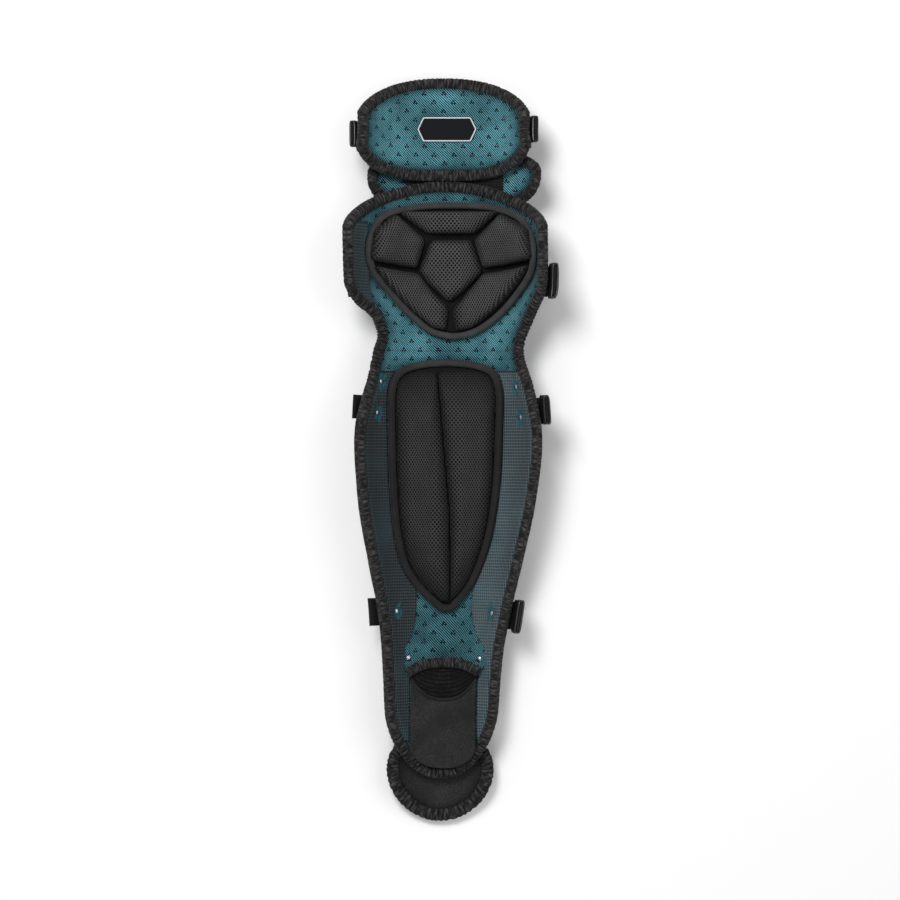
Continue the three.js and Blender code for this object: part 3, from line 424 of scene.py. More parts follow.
def evenly(outline, count, closed=True):
    """The same outline with evenly spaced points."""
    loop = np.vstack([outline, outline[:1]]) if closed else outline
    reach = reach_of(outline, closed)
    target = np.linspace(0, reach[-1], count + 1)[:-1] if closed else np.linspace(0, reach[-1], count)
    return np.stack([np.interp(target, reach, loop[:, k]) for k in (0, 1)], 1)


def spans(outline, rows):
    """Left and right ends of an outline at places along the leg."""
    following = np.roll(outline, -1, 0)
    ends = np.zeros((len(rows), 2))
    for i, along in enumerate(rows):
        hit = ((outline[:, 1] - along) * (following[:, 1] - along) <= 0) & (outline[:, 1] != following[:, 1])
        p, q = outline[hit], following[hit]
        across = p[:, 0] + (q[:, 0] - p[:, 0]) * (along - p[:, 1]) / (q[:, 1] - p[:, 1])
        if len(across):
            ends[i] = min(across.min(), 0), max(across.max(), 0)
    return ends


def nearest(outline, across, along):
    """Distance to an outline, and the reach along it of the nearest point."""
    reach = reach_of(outline)[:-1]
    flat = np.stack([across.ravel(), along.ravel()], 1)
    distance, where = np.empty(len(flat)), np.empty(len(flat))
    for start in range(0, len(flat), 4000):
        part = flat[start:start + 4000, None, :] - outline[None, :, :]
        square = (part ** 2).sum(2)
        k = square.argmin(1)
        distance[start:start + 4000] = np.sqrt(square[np.arange(len(k)), k])
        where[start:start + 4000] = reach[k]
    return distance.reshape(across.shape), where.reshape(across.shape)


def oval(centre_x, centre_y, half, rise, drop, square_up, square_down, lift):
    """Oval outline seen from above, with its own squareness above and below its centre."""
    turn = np.linspace(0, 2 * np.pi, 720, endpoint=False)
    up = np.sin(turn) >= 0
    power = 2 / np.where(up, square_up, square_down)
    x = centre_x + np.sign(np.cos(turn)) * half * np.abs(np.cos(turn)) ** power
    y = centre_y + np.sign(np.sin(turn)) * np.where(up, rise, drop) * np.abs(np.sin(turn)) ** power
    return np.stack([across_at(x, y, lift), y], 1)


def curve_through(knots, lift):
    """Closed smooth curve through points seen from above."""
    knots = np.array(knots, float)
    t = np.linspace(0, 1, 24, endpoint=False)[:, None]
    runs = []
    for i in range(len(knots)):
        p0, p1, p2, p3 = (knots[(i + k) % len(knots)] for k in (-1, 0, 1, 2))
        d0, d1, d2 = (np.linalg.norm(b - a) ** 0.5 for a, b in ((p0, p1), (p1, p2), (p2, p3)))
        t1 = ((p1 - p0) / d0 - (p2 - p0) / (d0 + d1) + (p2 - p1) / d1) * d1
        t2 = ((p2 - p1) / d1 - (p3 - p1) / (d1 + d2) + (p3 - p2) / d2) * d1
        bend = (-3 * p1 + 3 * p2 - 2 * t1 - t2) * t ** 2 + (2 * p1 - 2 * p2 + t1 + t2) * t ** 3
        runs.append(p1 + t1 * t + bend)
    curve = np.vstack(runs)
    return np.stack([across_at(curve[:, 0], curve[:, 1], lift), curve[:, 1]], 1)


def rounded(corners, radius):
    """Closed polygon with soft corners."""
    outline = evenly(np.array(corners, float), 400)
    step = reach_of(outline)[-1] / len(outline)
    window = max(int(radius / step), 1)
    for _ in range(3):
        outline = sum(np.roll(outline, k, 0) for k in range(-window, window + 1)) / (2 * window + 1)
    return evenly(outline, 400)


def main_edge():
    """Outline of the main liner with its binding."""
    s = sizes()
    turn = np.linspace(0, np.pi, 321)[:-1]
    runs = []
    for sign, column in ((1, 2), (-1, 1)):
        along = s.leg_length * (1 - np.cos(turn)) / 2
        if sign < 0:
            along = s.leg_length * (1 + np.cos(turn)) / 2
        knee = np.maximum((along - s.leg_length + s.knee_dome) / s.knee_dome, 0)
        ankle = np.maximum((s.ankle_dome - along) / s.ankle_dome, 0)
        share = np.sqrt(np.maximum(1 - knee ** 2 - ankle ** 2, 0))
        share = share * smooth(EDGE_ROWS, [row[column] for row in EDGE_ROWS], along / s.leg_length)
        runs.append(np.stack([across_share(sign * share, along), along], 1))
    return evenly(np.vstack(runs), 1280)


def thigh_edge():
    s = sizes()
    centre = s.leg_length - 0.3 * s.pad_gap + s.thigh_height / 2
    shift = float(section(centre)[3])
    reach = s.thigh_height / 2
    return oval(shift, centre, s.thigh_half, reach, reach, 2.3, 3.1, s.liner_thick / 2), centre


def flap_edge():
    s = sizes()
    centre = s.leg_length + 0.0043
    lift = (flap_low() + flap_high()) / 2
    return oval(s.flap_shift, centre, s.flap_half, s.flap_rise, s.flap_drop, 2.5, 2.5, lift)


def toe_edge():
    s = sizes()
    centre = 0.008
    lift = (flap_low() + flap_high()) / 2
    shift = float(section(centre)[3]) - 0.0006
    return oval(shift, centre, s.toe_half, s.toe_rise, s.toe_drop, 2, 2, lift)


def knee_pad_seen(x, y):
    s = sizes()
    reach = s.knee_pad_rise if y > 0 else s.knee_pad_drop
    return KNEE_PAD_SHIFT + x * s.knee_pad_half, KNEE_PAD_CENTRE * s.leg_length + y * reach


def knee_pad_edge():
    return curve_through([knee_pad_seen(x, y) for x, y in KNEE_PAD_ROWS], base_high())


def shin_pad_seen(x, down):
    s = sizes()
    return SHIN_PAD_SHIFT + x * s.shin_pad_half, SHIN_PAD_TOP * s.leg_length - down * s.shin_pad_length


def shin_pad_edge():
    left = [shin_pad_seen(-row[1], row[0]) for row in SHIN_PAD_ROWS]
    right = [shin_pad_seen(row[2], row[0]) for row in SHIN_PAD_ROWS]
    return curve_through(left + right[::-1], base_high())


def linked(name, data):
    """New object of the scene."""
    obj = bpy.data.objects.new(name, data)
    bpy.context.scene.collection.objects.link(obj)
    return obj


def points_of(data):
    """Vertices of a mesh as rows of three numbers."""
    flat = np.empty(len(data.vertices) * 3)
    data.vertices.foreach_get("co", flat)
    return flat.reshape(-1, 3)


def squarish(turn, half_width, half_height, square):
    """Sides and heights of a round loop that is drawn towards a rectangle."""
    side = np.sign(np.cos(turn)) * np.abs(np.cos(turn)) ** (2 / square) * half_width
    return side, np.sign(np.sin(turn)) * np.abs(np.sin(turn)) ** (2 / square) * half_height


def new_mesh(name, points, faces, uv, finish, shade=None):
    """Mesh object of the guard with smooth faces, a map of its cloth and one finish.

    Shade is 1 on open cloth and falls to 0 in its folds, seams and edges, where the finish darkens the colour
    as painted shade.
    """
    mesh = bpy.data.meshes.new(name)
    mesh.from_pydata(points.reshape(-1, 3).tolist(), [], faces)
    mesh.polygons.foreach_set("use_smooth", np.ones(len(mesh.polygons), bool))
    corner = np.empty(len(mesh.loops), int)
    mesh.loops.foreach_get("vertex_index", corner)
    layer = mesh.uv_layers.new(name="cloth")
    layer.data.foreach_set("uv", uv.reshape(-1, 2)[corner].astype(np.float32).ravel())
    shade = np.ones(len(mesh.vertices)) if shade is None else np.asarray(shade, float).ravel()
    mesh.attributes.new("shade", "FLOAT", "POINT").data.foreach_set("value", shade.astype(np.float32))
    mesh.materials.append(finish)
    mesh.update()
    return linked(name, mesh)


def grid_faces(rows, columns, start=0, flip=False, wrap=False):
    """Quads of a grid of points; wrap joins its last row to its first."""
    v = np.arange(rows if wrap else rows - 1)[:, None]
    u = np.arange(columns - 1)[None, :]
    a, b = start + v * columns + u, start + v * columns + u + 1
    c, d = start + ((v + 1) % rows) * columns + u + 1, start + ((v + 1) % rows) * columns + u
    quads = np.stack([a, b, c, d] if not flip else [a, d, c, b], -1)
    return quads.reshape(-1, 4).tolist()


def skin(name, across, along, low, high, finish, valley=None, shade=None):
    """Closed sheet of some thickness on the form, from grids of places."""
    rows, columns = across.shape
    top, under = place(across, along, high, valley), place(across, along, low, valley)
    count = rows * columns
    faces = grid_faces(rows, columns) + grid_faces(rows, columns, count, flip=True)
    rim = list(range(columns)) + [v * columns + columns - 1 for v in range(1, rows)]
    rim += [(rows - 1) * columns + u for u in range(columns - 2, -1, -1)]
    rim += [v * columns for v in range(rows - 2, 0, -1)]
    for a, b in zip(rim, rim[1:] + rim[:1]):
        faces.append([b, a, a + count, b + count])
    points = np.vstack([top.reshape(-1, 3), under.reshape(-1, 3)])
    uv = np.stack([across, along], -1).reshape(-1, 2)
    shade = None if shade is None else np.concatenate([shade.ravel(), shade.ravel()])
    return new_mesh(name, points, faces, np.vstack([uv, uv]), finish, shade)


def disc(name, outline, shares, lifts, finish, shade=None):
    """Closed round sheet on the form: rings from an outline to its centre.

    Lifts and shade are functions of across and along; lifts gives the lower and the upper lift.
    """
    centre = outline.mean(0)
    count = len(outline)
    across = centre[0] + (outline[:, 0] - centre[0]) * shares[:, None]
    along = centre[1] + (outline[:, 1] - centre[1]) * shares[:, None]
    middle = centre[:, None]
    points = []
    for lift, lift_of_middle in zip(lifts(across, along)[::-1], lifts(*middle)[::-1]):
        points += [place(across, along, lift), place(*middle, lift_of_middle)]
    rings = len(shares)
    half = rings * count + 1
    ring, k = np.arange(rings - 1)[:, None], np.arange(count)[None, :]
    after = (k + 1) % count
    a, b = ring * count + k, ring * count + after
    c, d = (ring + 1) * count + after, (ring + 1) * count + k
    faces = np.stack([a, b, c, d], -1).reshape(-1, 4).tolist()
    faces += (np.stack([a, d, c, b], -1) + half).reshape(-1, 4).tolist()
    last = (rings - 1) * count
    for i in range(count):
        j = (i + 1) % count
        faces.append([last + i, last + j, half - 1])
        faces.append([half + last + j, half + last + i, 2 * half - 1])
        faces.append([half + i, half + j, j, i])
    uv = np.vstack([np.stack([across, along], -1).reshape(-1, 2), centre[None, :]])
    if shade is not None:
        shade = np.append(shade(across, along).ravel(), shade(*middle).ravel())
        shade = np.concatenate([shade, shade])
    points = np.vstack([p.reshape(-1, 3) for p in points])
    return new_mesh(name, points, faces, np.vstack([uv, uv]), finish, shade)


def marked_line(name, points, closed, **values):
    """Edges through points, with named values at each point."""
    count = len(points)
    data = bpy.data.meshes.new(name)
    data.from_pydata(points.tolist(), [(i, (i + 1) % count) for i in range(count if closed else count - 1)], [])
    for label, value in values.items():
        kind, field = ("FLOAT_VECTOR", "vector") if value.ndim == 2 else ("FLOAT", "value")
        data.attributes.new(label, kind, "POINT").data.foreach_set(field, value.astype(np.float32).ravel())
    return linked(name, data)


def tape_section(width, thick, square, sides):
    """Rounded section of a tape: width in x, thickness in y."""
    turn = 2 * np.pi * (np.arange(sides) + 0.5) / sides
    side, rise = squarish(turn, width / 2, thick / 2, square)
    return marked_line("tape_section", np.stack([side, -rise, 0 * turn], 1), True, turn=turn)


def roll(name, path, lift, width, thick, finish, pleats=None, closed=True, sides=18, square=2.2):
    """Tape along a path on the form; pleats are their pitch, depth, seed and a table along the leg."""
    count = len(path)
    pitch, depth, seed, table = pleats or (0.01, 0.0, 1, None)
    lift = np.broadcast_to(np.asarray(lift, float), (count,))
    spots = place(path[:, 0], path[:, 1], lift)
    tangent = np.roll(spots, -1, 0) - np.roll(spots, 1, 0) if closed else np.gradient(spots, axis=0)
    outward = np.cross(tangent, place(path[:, 0], path[:, 1], lift + NORMAL_STEP) - spots)
    outward /= np.linalg.norm(outward, axis=1, keepdims=True)
    reach = reach_of(path, closed)[:count]
    amount, local = np.ones(count), np.full(count, pitch)
    if table:
        at = path[:, 1] / sizes().leg_length
        amount, local = (smooth(table, [row[k] for row in table], at) for k in (1, 2))
    phase = np.cumsum(np.diff(np.append(reach, reach[-1] * 2 - reach[-2])) / local)
    phase = phase + 0.8 * wander(phase, 0 * phase, (2.3, 1), seed)
    line = marked_line(f"{name}_path", spots, closed, reach=reach, amount=amount, phase=phase,
                       centre=spots, outward=outward)
    section = tape_section(width, thick, square, sides)
    values = {"Section": section, "Width": width, "Pleat depth": depth, "Seed": float(seed), "Finish": finish}
    made = gathered_tape().run(line, name, values)
    bpy.data.objects.remove(section)
    for label in ("reach", "amount", "phase", "centre", "outward", "turn", "custom_normal"):
        if label in made.data.attributes:
            made.data.attributes.remove(made.data.attributes[label])
    shell = bmesh.new()
    shell.from_mesh(made.data)
    inside_out = shell.calc_volume(signed=True) < 0
    shell.free()
    if inside_out:
        made.data.flip_normals()
    return made


def rest_on_root(obj, slot, *nodes):
    """The piece rides on the guard and stands for its solids; its slot is not used."""
    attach(obj, "root")
    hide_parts(*nodes)
    return obj


class Recipe:
    """Nodes of a material or of a shape; each call gives the socket of its result."""

    def node(self, kind, mode=None, **inputs):
        node = self.tree.nodes.new(kind)
        if mode:
            node.mode = mode
        for name, value in inputs.items():
            self.put(node.inputs[name.replace("_", " ")], value)
        return node

    def put(self, socket, value):
        if isinstance(value, bpy.types.NodeSocket):
            self.tree.links.new(value, socket)
        elif value is not None:
            socket.default_value = value

    def math(self, operation, a, b=None):
        node = self.tree.nodes.new("ShaderNodeMath")
        node.operation = operation
        self.put(node.inputs[0], a)
        self.put(node.inputs[1], b)
        return node.outputs[0]

    def add(self, a, b):
        return self.math("ADD", a, b)

    def times(self, a, b):
        return self.math("MULTIPLY", a, b)

    def less(self, a, b):
        return self.math("SUBTRACT", a, b)

    def vector(self, operation, a, b):
        node = self.tree.nodes.new("ShaderNodeVectorMath")
        node.operation = operation
        self.put(node.inputs[0], a)
        self.put(node.inputs["Scale"] if operation == "SCALE" else node.inputs[1], b)
        return node.outputs[0]

    def joined(self, x, y, z=0.0):
        return self.node("ShaderNodeCombineXYZ", X=x, Y=y, Z=z).outputs[0]


class Shape(Recipe):
    """A geometry tree with named inputs that ends in real geometry with its finish."""

    def __init__(self, name, inputs):
        self.tree = bpy.data.node_groups.new(name, "GeometryNodeTree")
        board = self.tree.interface
        board.new_socket("Geometry", in_out="INPUT", socket_type="NodeSocketGeometry")
        self.sockets = {}
        for label, kind in (*inputs, ("Finish", "NodeSocketMaterial")):
            self.sockets[label] = board.new_socket(label, in_out="INPUT", socket_type=kind).identifier
        board.new_socket("Geometry", in_out="OUTPUT", socket_type="NodeSocketGeometry")
        self.given = self.tree.nodes.new("NodeGroupInput").outputs

    def named(self, name, kind="FLOAT"):
        node = self.node("GeometryNodeInputNamedAttribute", Name=name)
        node.data_type = kind
        return node.outputs["Attribute"]

    def keep(self, geometry, name, kind, domain, value):
        node = self.tree.nodes.new("GeometryNodeStoreNamedAttribute")
        node.data_type = kind
        node.domain = domain
        self.put(node.inputs["Geometry"], geometry)
        self.put(node.inputs["Name"], name)
        self.put(node.inputs["Value"], value)
        return node.outputs[0]

    def ends(self, geometry):
        real = self.node("GeometryNodeRealizeInstances", Geometry=geometry)
        paint = self.node("GeometryNodeSetMaterial", Geometry=real.outputs[0], Material=self.given["Finish"])
        self.tree.links.new(paint.outputs[0], self.tree.nodes.new("NodeGroupOutput").inputs[0])
        return self

    def run(self, obj, name, values):
        """Runs the tree on an object and keeps its result as a new plain mesh."""
        modifier = obj.modifiers.new("shape", "NODES")
        modifier.node_group = self.tree
        for label, value in values.items():
            modifier[self.sockets[label]] = value
        depsgraph = bpy.context.evaluated_depsgraph_get()
        mesh = bpy.data.meshes.new_from_object(obj.evaluated_get(depsgraph))
        obj.modifiers.clear()
        bpy.data.objects.remove(obj)
        made = linked(name, mesh)
        mesh.polygons.foreach_set("use_smooth", np.ones(len(mesh.polygons), bool))
        return made


SHAPES = {}


def gathered_tape():
    """Tree that sweeps a section along a path, draws pleats into it and stores painted shade for their creases.
    """
    if "gathered_tape" in SHAPES:   # made once, used by every tape
        return SHAPES["gathered_tape"]
    t = Shape("Gathered tape", (("Section", "NodeSocketObject"), ("Width", "NodeSocketFloat"),
                                ("Pleat depth", "NodeSocketFloat"), ("Seed", "NodeSocketFloat")))
    line = t.node("GeometryNodeMeshToCurve", Mesh=t.given["Geometry"])
    outward = t.named("outward", "FLOAT_VECTOR")
    upright = t.node("GeometryNodeSetCurveNormal", "FREE", Curve=line.outputs[0], Normal=outward)
    section = t.node("GeometryNodeObjectInfo", Object=t.given["Section"])
    ring = t.node("GeometryNodeMeshToCurve", Mesh=section.outputs["Geometry"])
    sweep = t.node("GeometryNodeCurveToMesh", Curve=upright.outputs[0], Profile_Curve=ring.outputs[0],
                   Fill_Caps=True)
    reach, turn, centre = t.named("reach"), t.named("turn"), t.named("centre", "FLOAT_VECTOR")

    def uneven(pitch, aside, step, amount):
        """Irregular values round 0 along and round the tape."""
        at = t.joined(t.math("DIVIDE", reach, pitch), t.math("DIVIDE", turn, aside),
                      t.add(t.given["Seed"], step))
        noise = t.node("ShaderNodeTexNoise", Vector=at, Scale=1.0, Detail=1.0).outputs["Fac"]
        return t.times(t.less(noise, 0.5), amount)
    lean = t.add(t.times(t.math("SINE", turn), 0.5), uneven(0.009, 1.0, 0.0, 4.0))
    angle = t.add(t.times(t.named("phase"), math.pi), lean)
    crease = t.less(1.0, t.math("POWER", t.math("ABSOLUTE", t.math("SINE", angle)), 1.1))
    depth = t.times(t.given["Pleat depth"], t.add(uneven(0.005, 1.3, 2.0, 1.8), 0.6))
    drawn = t.times(t.times(crease, depth), t.named("amount"))
    swell = t.less(t.add(uneven(0.017, 1.8, 5.0, 0.12), 0.98), drawn)
    away = t.vector("SUBTRACT", t.node("GeometryNodeInputPosition").outputs[0], centre)
    moved = t.node("GeometryNodeSetPosition", Geometry=sweep.outputs[0],
                   Position=t.vector("ADD", centre, t.vector("SCALE", away, swell)))
    # Painted shade: 0 in the deepest creases of the pleats, 1 on open tape.
    shade = t.node("ShaderNodeMapRange", Value=swell, From_Min=0.74, From_Max=1.0).outputs[0]
    cloth = t.joined(reach, t.times(turn, t.math("DIVIDE", t.given["Width"], 2.0)))
    marked = t.keep(moved.outputs[0], "shade", "FLOAT", "POINT", shade)
    SHAPES["gathered_tape"] = t.ends(t.keep(marked, "cloth", "FLOAT2", "CORNER", cloth))
    return SHAPES["gathered_tape"]


# Finishes

class Finish(Recipe):
    """The nodes of a material."""

    def __init__(self, name, roughness, specular=0.35, metallic=0.0, sheen=0.0, coat=0.0):
        self.material = bpy.data.materials.new(name)
        self.material.use_nodes = True
        self.tree = self.material.node_tree
        self.shader = self.tree.nodes["Principled BSDF"]
        self.shader.inputs["Roughness"].default_value = roughness
        self.shader.inputs["Specular IOR Level"].default_value = specular
        self.shader.inputs["Metallic"].default_value = metallic
        self.shader.inputs["Sheen Weight"].default_value = sheen
        self.shader.inputs["Sheen Roughness"].default_value = 0.45
        self.shader.inputs["Coat Weight"].default_value = coat
        self.shader.inputs["Coat Roughness"].default_value = 0.12

    def cloth(self):
        """Places on the cloth in metres: across and along."""
        source = self.tree.nodes.new("ShaderNodeUVMap")
        source.uv_map = "cloth"
        split = self.tree.nodes.new("ShaderNodeSeparateXYZ")
        self.tree.links.new(source.outputs[0], split.inputs[0])
        return split.outputs[0], split.outputs[1]

    def spot(self):
        return self.tree.nodes.new("ShaderNodeTexCoord").outputs["Object"]

    def noise(self, scale, detail=2.0, vector=None):
        node = self.node("ShaderNodeTexNoise", Vector=vector or self.spot(), Scale=scale, Detail=detail)
        return node.outputs["Fac"]

    def wobble(self, scale, detail, amount):
        """Irregular values round 0."""
        return self.times(self.less(self.noise(scale, detail), 0.5), amount)

    def step(self, value, low, high):
        node = self.tree.nodes.new("ShaderNodeMapRange")
        node.interpolation_type = "SMOOTHSTEP"
        self.put(node.inputs["Value"], value)
        node.inputs["From Min"].default_value = low
        node.inputs["From Max"].default_value = high
        return node.outputs[0]

    def mix(self, factor, a, b):
        node = self.tree.nodes.new("ShaderNodeMix")
        node.data_type = "RGBA"
        self.put(node.inputs[0], factor)
        self.put(node.inputs[6], (*a, 1) if isinstance(a, tuple) else a)
        self.put(node.inputs[7], (*b, 1) if isinstance(b, tuple) else b)
        return node.outputs[2]

    def lines(self, value, pitch, width, soft=0.25):
        """1 on lines that repeat at a pitch, 0 between them."""
        away = self.math("ABSOLUTE", self.less(self.math("FRACT", self.math("DIVIDE", value, pitch)), 0.5))
        return self.step(away, width / pitch / 2 + soft, width / pitch / 2 - soft)

    def dots(self, across, along, pitch_x, pitch_y, radius, soft):
        """1 in round holes on staggered rows, 0 between them."""
        row = self.math("DIVIDE", along, pitch_y)
        odd = self.times(self.math("MODULO", self.math("FLOOR", row), 2.0), 0.5)
        x = self.less(self.math("FRACT", self.add(self.math("DIVIDE", across, pitch_x), odd)), 0.5)
        y = self.less(self.math("FRACT", row), 0.5)
        x2 = self.math("POWER", self.math("ABSOLUTE", self.times(x, pitch_x)), 2.0)
        y2 = self.math("POWER", self.math("ABSOLUTE", self.times(y, pitch_y)), 2.0)
        distance = self.math("SQRT", self.add(x2, y2))
        return self.step(distance, radius + soft, radius - soft)

    def painted_light_towards_knee(self, least):
        """Painted light: a share that grows from its least on the shin to 1 on the knee, so the shin's cloths
        are painted darker as if less lit.
        """
        along = self.node("ShaderNodeSeparateXYZ", Vector=self.spot()).outputs[1]
        return self.add(self.times(self.step(along, 0.04, 0.09), 1 - least), least)

    def shaded(self, value, darkest):
        """Painted shade: a colour that falls to a share of itself where the shade attribute is 0."""
        source = self.tree.nodes.new("ShaderNodeAttribute")
        source.attribute_name = "shade"
        scale = self.add(self.times(source.outputs["Fac"], 1 - darkest), darkest)
        return self.vector("SCALE", value, scale)

    def done(self, color=None, height=None, distance=0.0004, strength=0.6, roughness=None):
        self.put(self.shader.inputs["Base Color"], (*color, 1) if isinstance(color, tuple) else color)
        self.put(self.shader.inputs["Roughness"], roughness)
        if height is not None:
            bump = self.node("ShaderNodeBump", Height=height, Strength=strength, Distance=distance)
            self.tree.links.new(bump.outputs[0], self.shader.inputs["Normal"])
        return self.material


FINISHES = {}


def finish(name):
    """A finish by its name, made when it is first used."""
    if name not in FINISHES:
        FINISHES[name] = MAKERS[name]()
    return FINISHES[name]


def color(name):
    return tuple(getattr(look(), name))


def scaled(colour, share):
    return tuple(min(v * share, 1) for v in colour)


def make_teal_lining():
    f = Finish("teal lining", 0.9, 0.08, sheen=0.05)
    across, along = f.cloth()
    wobble = f.wobble(420, 3, 0.0012)
    twill = f.lines(f.add(f.add(across, along), wobble), 0.0021, 0.0009, 0.09)
    weft = f.lines(f.less(across, along), 0.0014, 0.0009, 0.2)
    thread = f.times(twill, f.add(f.times(weft, 0.6), 0.4))
    patchy = f.step(f.noise(34, 4), 0.25, 0.72)
    face = f.times(thread, f.add(f.times(patchy, 0.6), 0.4))
    first, *others = (f.dots(f.add(across, aside), f.add(along, up), *TEAL_HOLE) for aside, up in TEAL_HOLES)
    hole = first
    for other in others:
        hole = f.math("MAXIMUM", hole, other)
    ground = f.mix(face, color("teal_dark"), color("teal_light"))
    pierced = f.mix(f.times(hole, 0.95), ground, color("perforation"))
    height = f.less(f.times(thread, 0.5), hole)
    # Painted light and shade: the lining is darker on the shin than on the knee, and darker where the shade
    # attribute falls.
    return f.done(f.shaded(f.vector("SCALE", pierced, f.painted_light_towards_knee(0.62)), 0.3), height, 0.0006, 0.8)


def make_black_binding():
    f = Finish("black binding", 0.85, 0.12, sheen=0.06)
    reach, turn = f.cloth()
    rib = f.lines(f.add(reach, f.times(f.noise(150, 2), 0.0008)), 0.0011, 0.0006, 0.3)
    # Painted highlights: streaks across the tape light the folds of its gathers up to nine times the binding's
    # colour, and also raise the bump; the ribs are the tape's own.
    streaks = f.noise(1.0, 4, f.joined(f.times(reach, 620.0), f.times(turn, 130.0)))
    wear_and_fold_highlight = f.step(streaks, 0.4, 0.72)
    dark = scaled(color("binding"), 0.25)
    light = scaled(color("binding"), 9)
    face = f.add(f.times(rib, 0.12), f.times(wear_and_fold_highlight, 0.62))
    fuzz = f.noise(2600, 2)
    bumps = f.add(f.times(wear_and_fold_highlight, 0.6), f.times(fuzz, 0.4))
    # Painted shade darkens the creases of the pleats through the shade attribute.
    return f.done(f.shaded(f.mix(face, dark, light), 0.05), bumps, 0.0004, 0.7)


def make_air_mesh():
    f = Finish("black air mesh", 0.7, 0.16, sheen=0.05)
    across, along = f.cloth()
    wobble = f.wobble(260, 2, 0.0006)
    hole = f.dots(f.add(across, wobble), f.add(along, wobble), *MESH_HOLE_PITCH, 0.00095, 0.00014)
    strand = f.lines(f.add(across, wobble), 0.00155, 0.0009, 0.3)
    dark = scaled(color("air_mesh"), 0.36)
    wear_and_fold_highlight = f.add(f.times(f.step(f.noise(70, 4), 0.3, 0.7), 0.4), 0.6)
    yarn = f.mix(f.times(strand, wear_and_fold_highlight), dark, color("air_mesh"))
    height = f.less(f.times(strand, 0.25), hole)
    # Painted light: the mesh is darker on the shin than on the knee; the shade attribute paints shade on the
    # cushions' low sides.
    woven = f.vector("SCALE", f.mix(hole, yarn, color("mesh_hole")), f.painted_light_towards_knee(0.62))
    return f.done(f.shaded(woven, 0.07), height, 0.0009, 0.9)


def make_groove_mesh():
    """The air mesh where it lies deep between the cushions, as a copy of it darkened with painted shade."""
    f = Finish("air mesh in the grooves", 0.85, 0.06)
    across, along = f.cloth()
    hole = f.dots(across, along, *MESH_HOLE_PITCH, 0.00062, 0.00026)
    # Painted shade: nearly black, a tenth of the air mesh's colour.
    deep = scaled(color("air_mesh"), 0.09)
    yarn = f.mix(f.noise(120, 3), scaled(deep, 0.6), deep)
    return f.done(f.mix(hole, yarn, scaled(deep, 0.4)), hole, 0.0005, 0.5)


def make_pad_tape():
    f = Finish("pad tape", 0.75, 0.16, sheen=0.06)
    reach, turn = f.cloth()
    rib = f.lines(reach, 0.0013, 0.0008, 0.3)
    cross = f.lines(turn, 0.001, 0.0006, 0.35)
    thread = f.times(rib, f.add(f.times(cross, 0.5), 0.5))
    dark = scaled(color("tape"), 0.45)
    wear_and_fold_highlight = f.add(f.times(f.step(f.noise(75, 5), 0.38, 0.66), 0.7), 0.3)
    woven = f.mix(f.times(thread, wear_and_fold_highlight), dark, color("tape"))
    # Painted light: the tape is darker on the shin than on the knee.
    return f.done(f.vector("SCALE", woven, f.painted_light_towards_knee(0.34)), thread, 0.0003, 0.6)


def make_side_mesh():
    f = Finish("side mesh", 0.8, 0.1, sheen=0.04)
    across, along = f.cloth()
    wobble = f.wobble(200, 2, 0.0007)
    warp = f.lines(f.add(across, wobble), 0.0022, 0.00085, 0.07)
    rib = f.lines(f.add(along, wobble), 0.0024, 0.00095, 0.07)
    thread = f.math("MAXIMUM", warp, rib)
    source = f.tree.nodes.new("ShaderNodeAttribute")
    source.attribute_name = "bare"
    ragged = f.add(source.outputs["Fac"], f.wobble(330, 3, 1.6))
    bare = f.step(ragged, 0.5, 0.8)
    # Painted sheen: the right strip gets lighter, greyer yarn and brighter holes.
    right = f.step(f.node("ShaderNodeSeparateXYZ", Vector=f.spot()).outputs[0], -0.02, 0.03)
    # Painted light: both strips are a little lighter towards the knee.
    knee = f.times(f.painted_light_towards_knee(0.0), 0.2)
    # Random patches where the lining shows more, plus the painted sheen of the right strip.
    veil = f.add(f.times(f.step(f.noise(24, 4), 0.4, 0.75), 0.45), f.times(right, 0.3))
    dim = scaled(color("side_hole"), 0.1)
    hole = f.mix(f.add(f.add(veil, knee), bare), dim, color("side_hole"))
    # Lit colour of the yarn for the painted sheen and light, 2.5 times its own colour.
    light = tuple(v * w for v, w in zip(color("side_thread"), (2.5, 2.6, 2.6)))
    yarn = f.mix(f.add(f.times(right, f.add(veil, 0.3)), knee), color("side_thread"), light)
    covered = f.times(thread, f.less(1.0, f.times(bare, 0.75)))
    # Painted shade through the shade attribute, along the strip's top seam.
    return f.done(f.shaded(f.mix(covered, hole, yarn), 0.15), thread, 0.0005, 0.7)


def make_smooth_cloth():
    f = Finish("smooth black cloth", 0.7, 0.14, sheen=0.04)
    across, along = f.cloth()
    grain = f.noise(1100, 4)
    weave = f.lines(f.add(across, along), 0.0009, 0.0005, 0.35)
    dark = scaled(color("smooth_cloth"), 0.45)
    light = scaled(color("smooth_cloth"), 1.9)
    speck = f.step(f.noise(700, 3), 0.35, 0.68)
    face = f.times(f.step(f.noise(40, 5), 0.15, 0.8), f.add(f.times(speck, 0.7), 0.3))
    bumps = f.add(f.times(grain, 0.6), f.times(weave, 0.4))
    # Painted shade next to the toe flap's binding, through the shade attribute.
    return f.done(f.shaded(f.mix(face, dark, light), 0.3), bumps, 0.0003, 0.6)


def make_webbing():
    f = Finish("ribbed webbing", 0.8, 0.12, sheen=0.05)
    across, along = f.cloth()
    rib = f.lines(along, 0.0021, 0.0013, 0.25)
    knot = f.lines(across, 0.0013, 0.0008, 0.3)
    thread = f.times(f.add(f.times(rib, 0.7), 0.3), knot)
    dark = scaled(color("webbing"), 0.35)
    light = scaled(color("webbing"), 1.5)
    return f.done(f.mix(thread, dark, light), thread, 0.0005, 0.7)


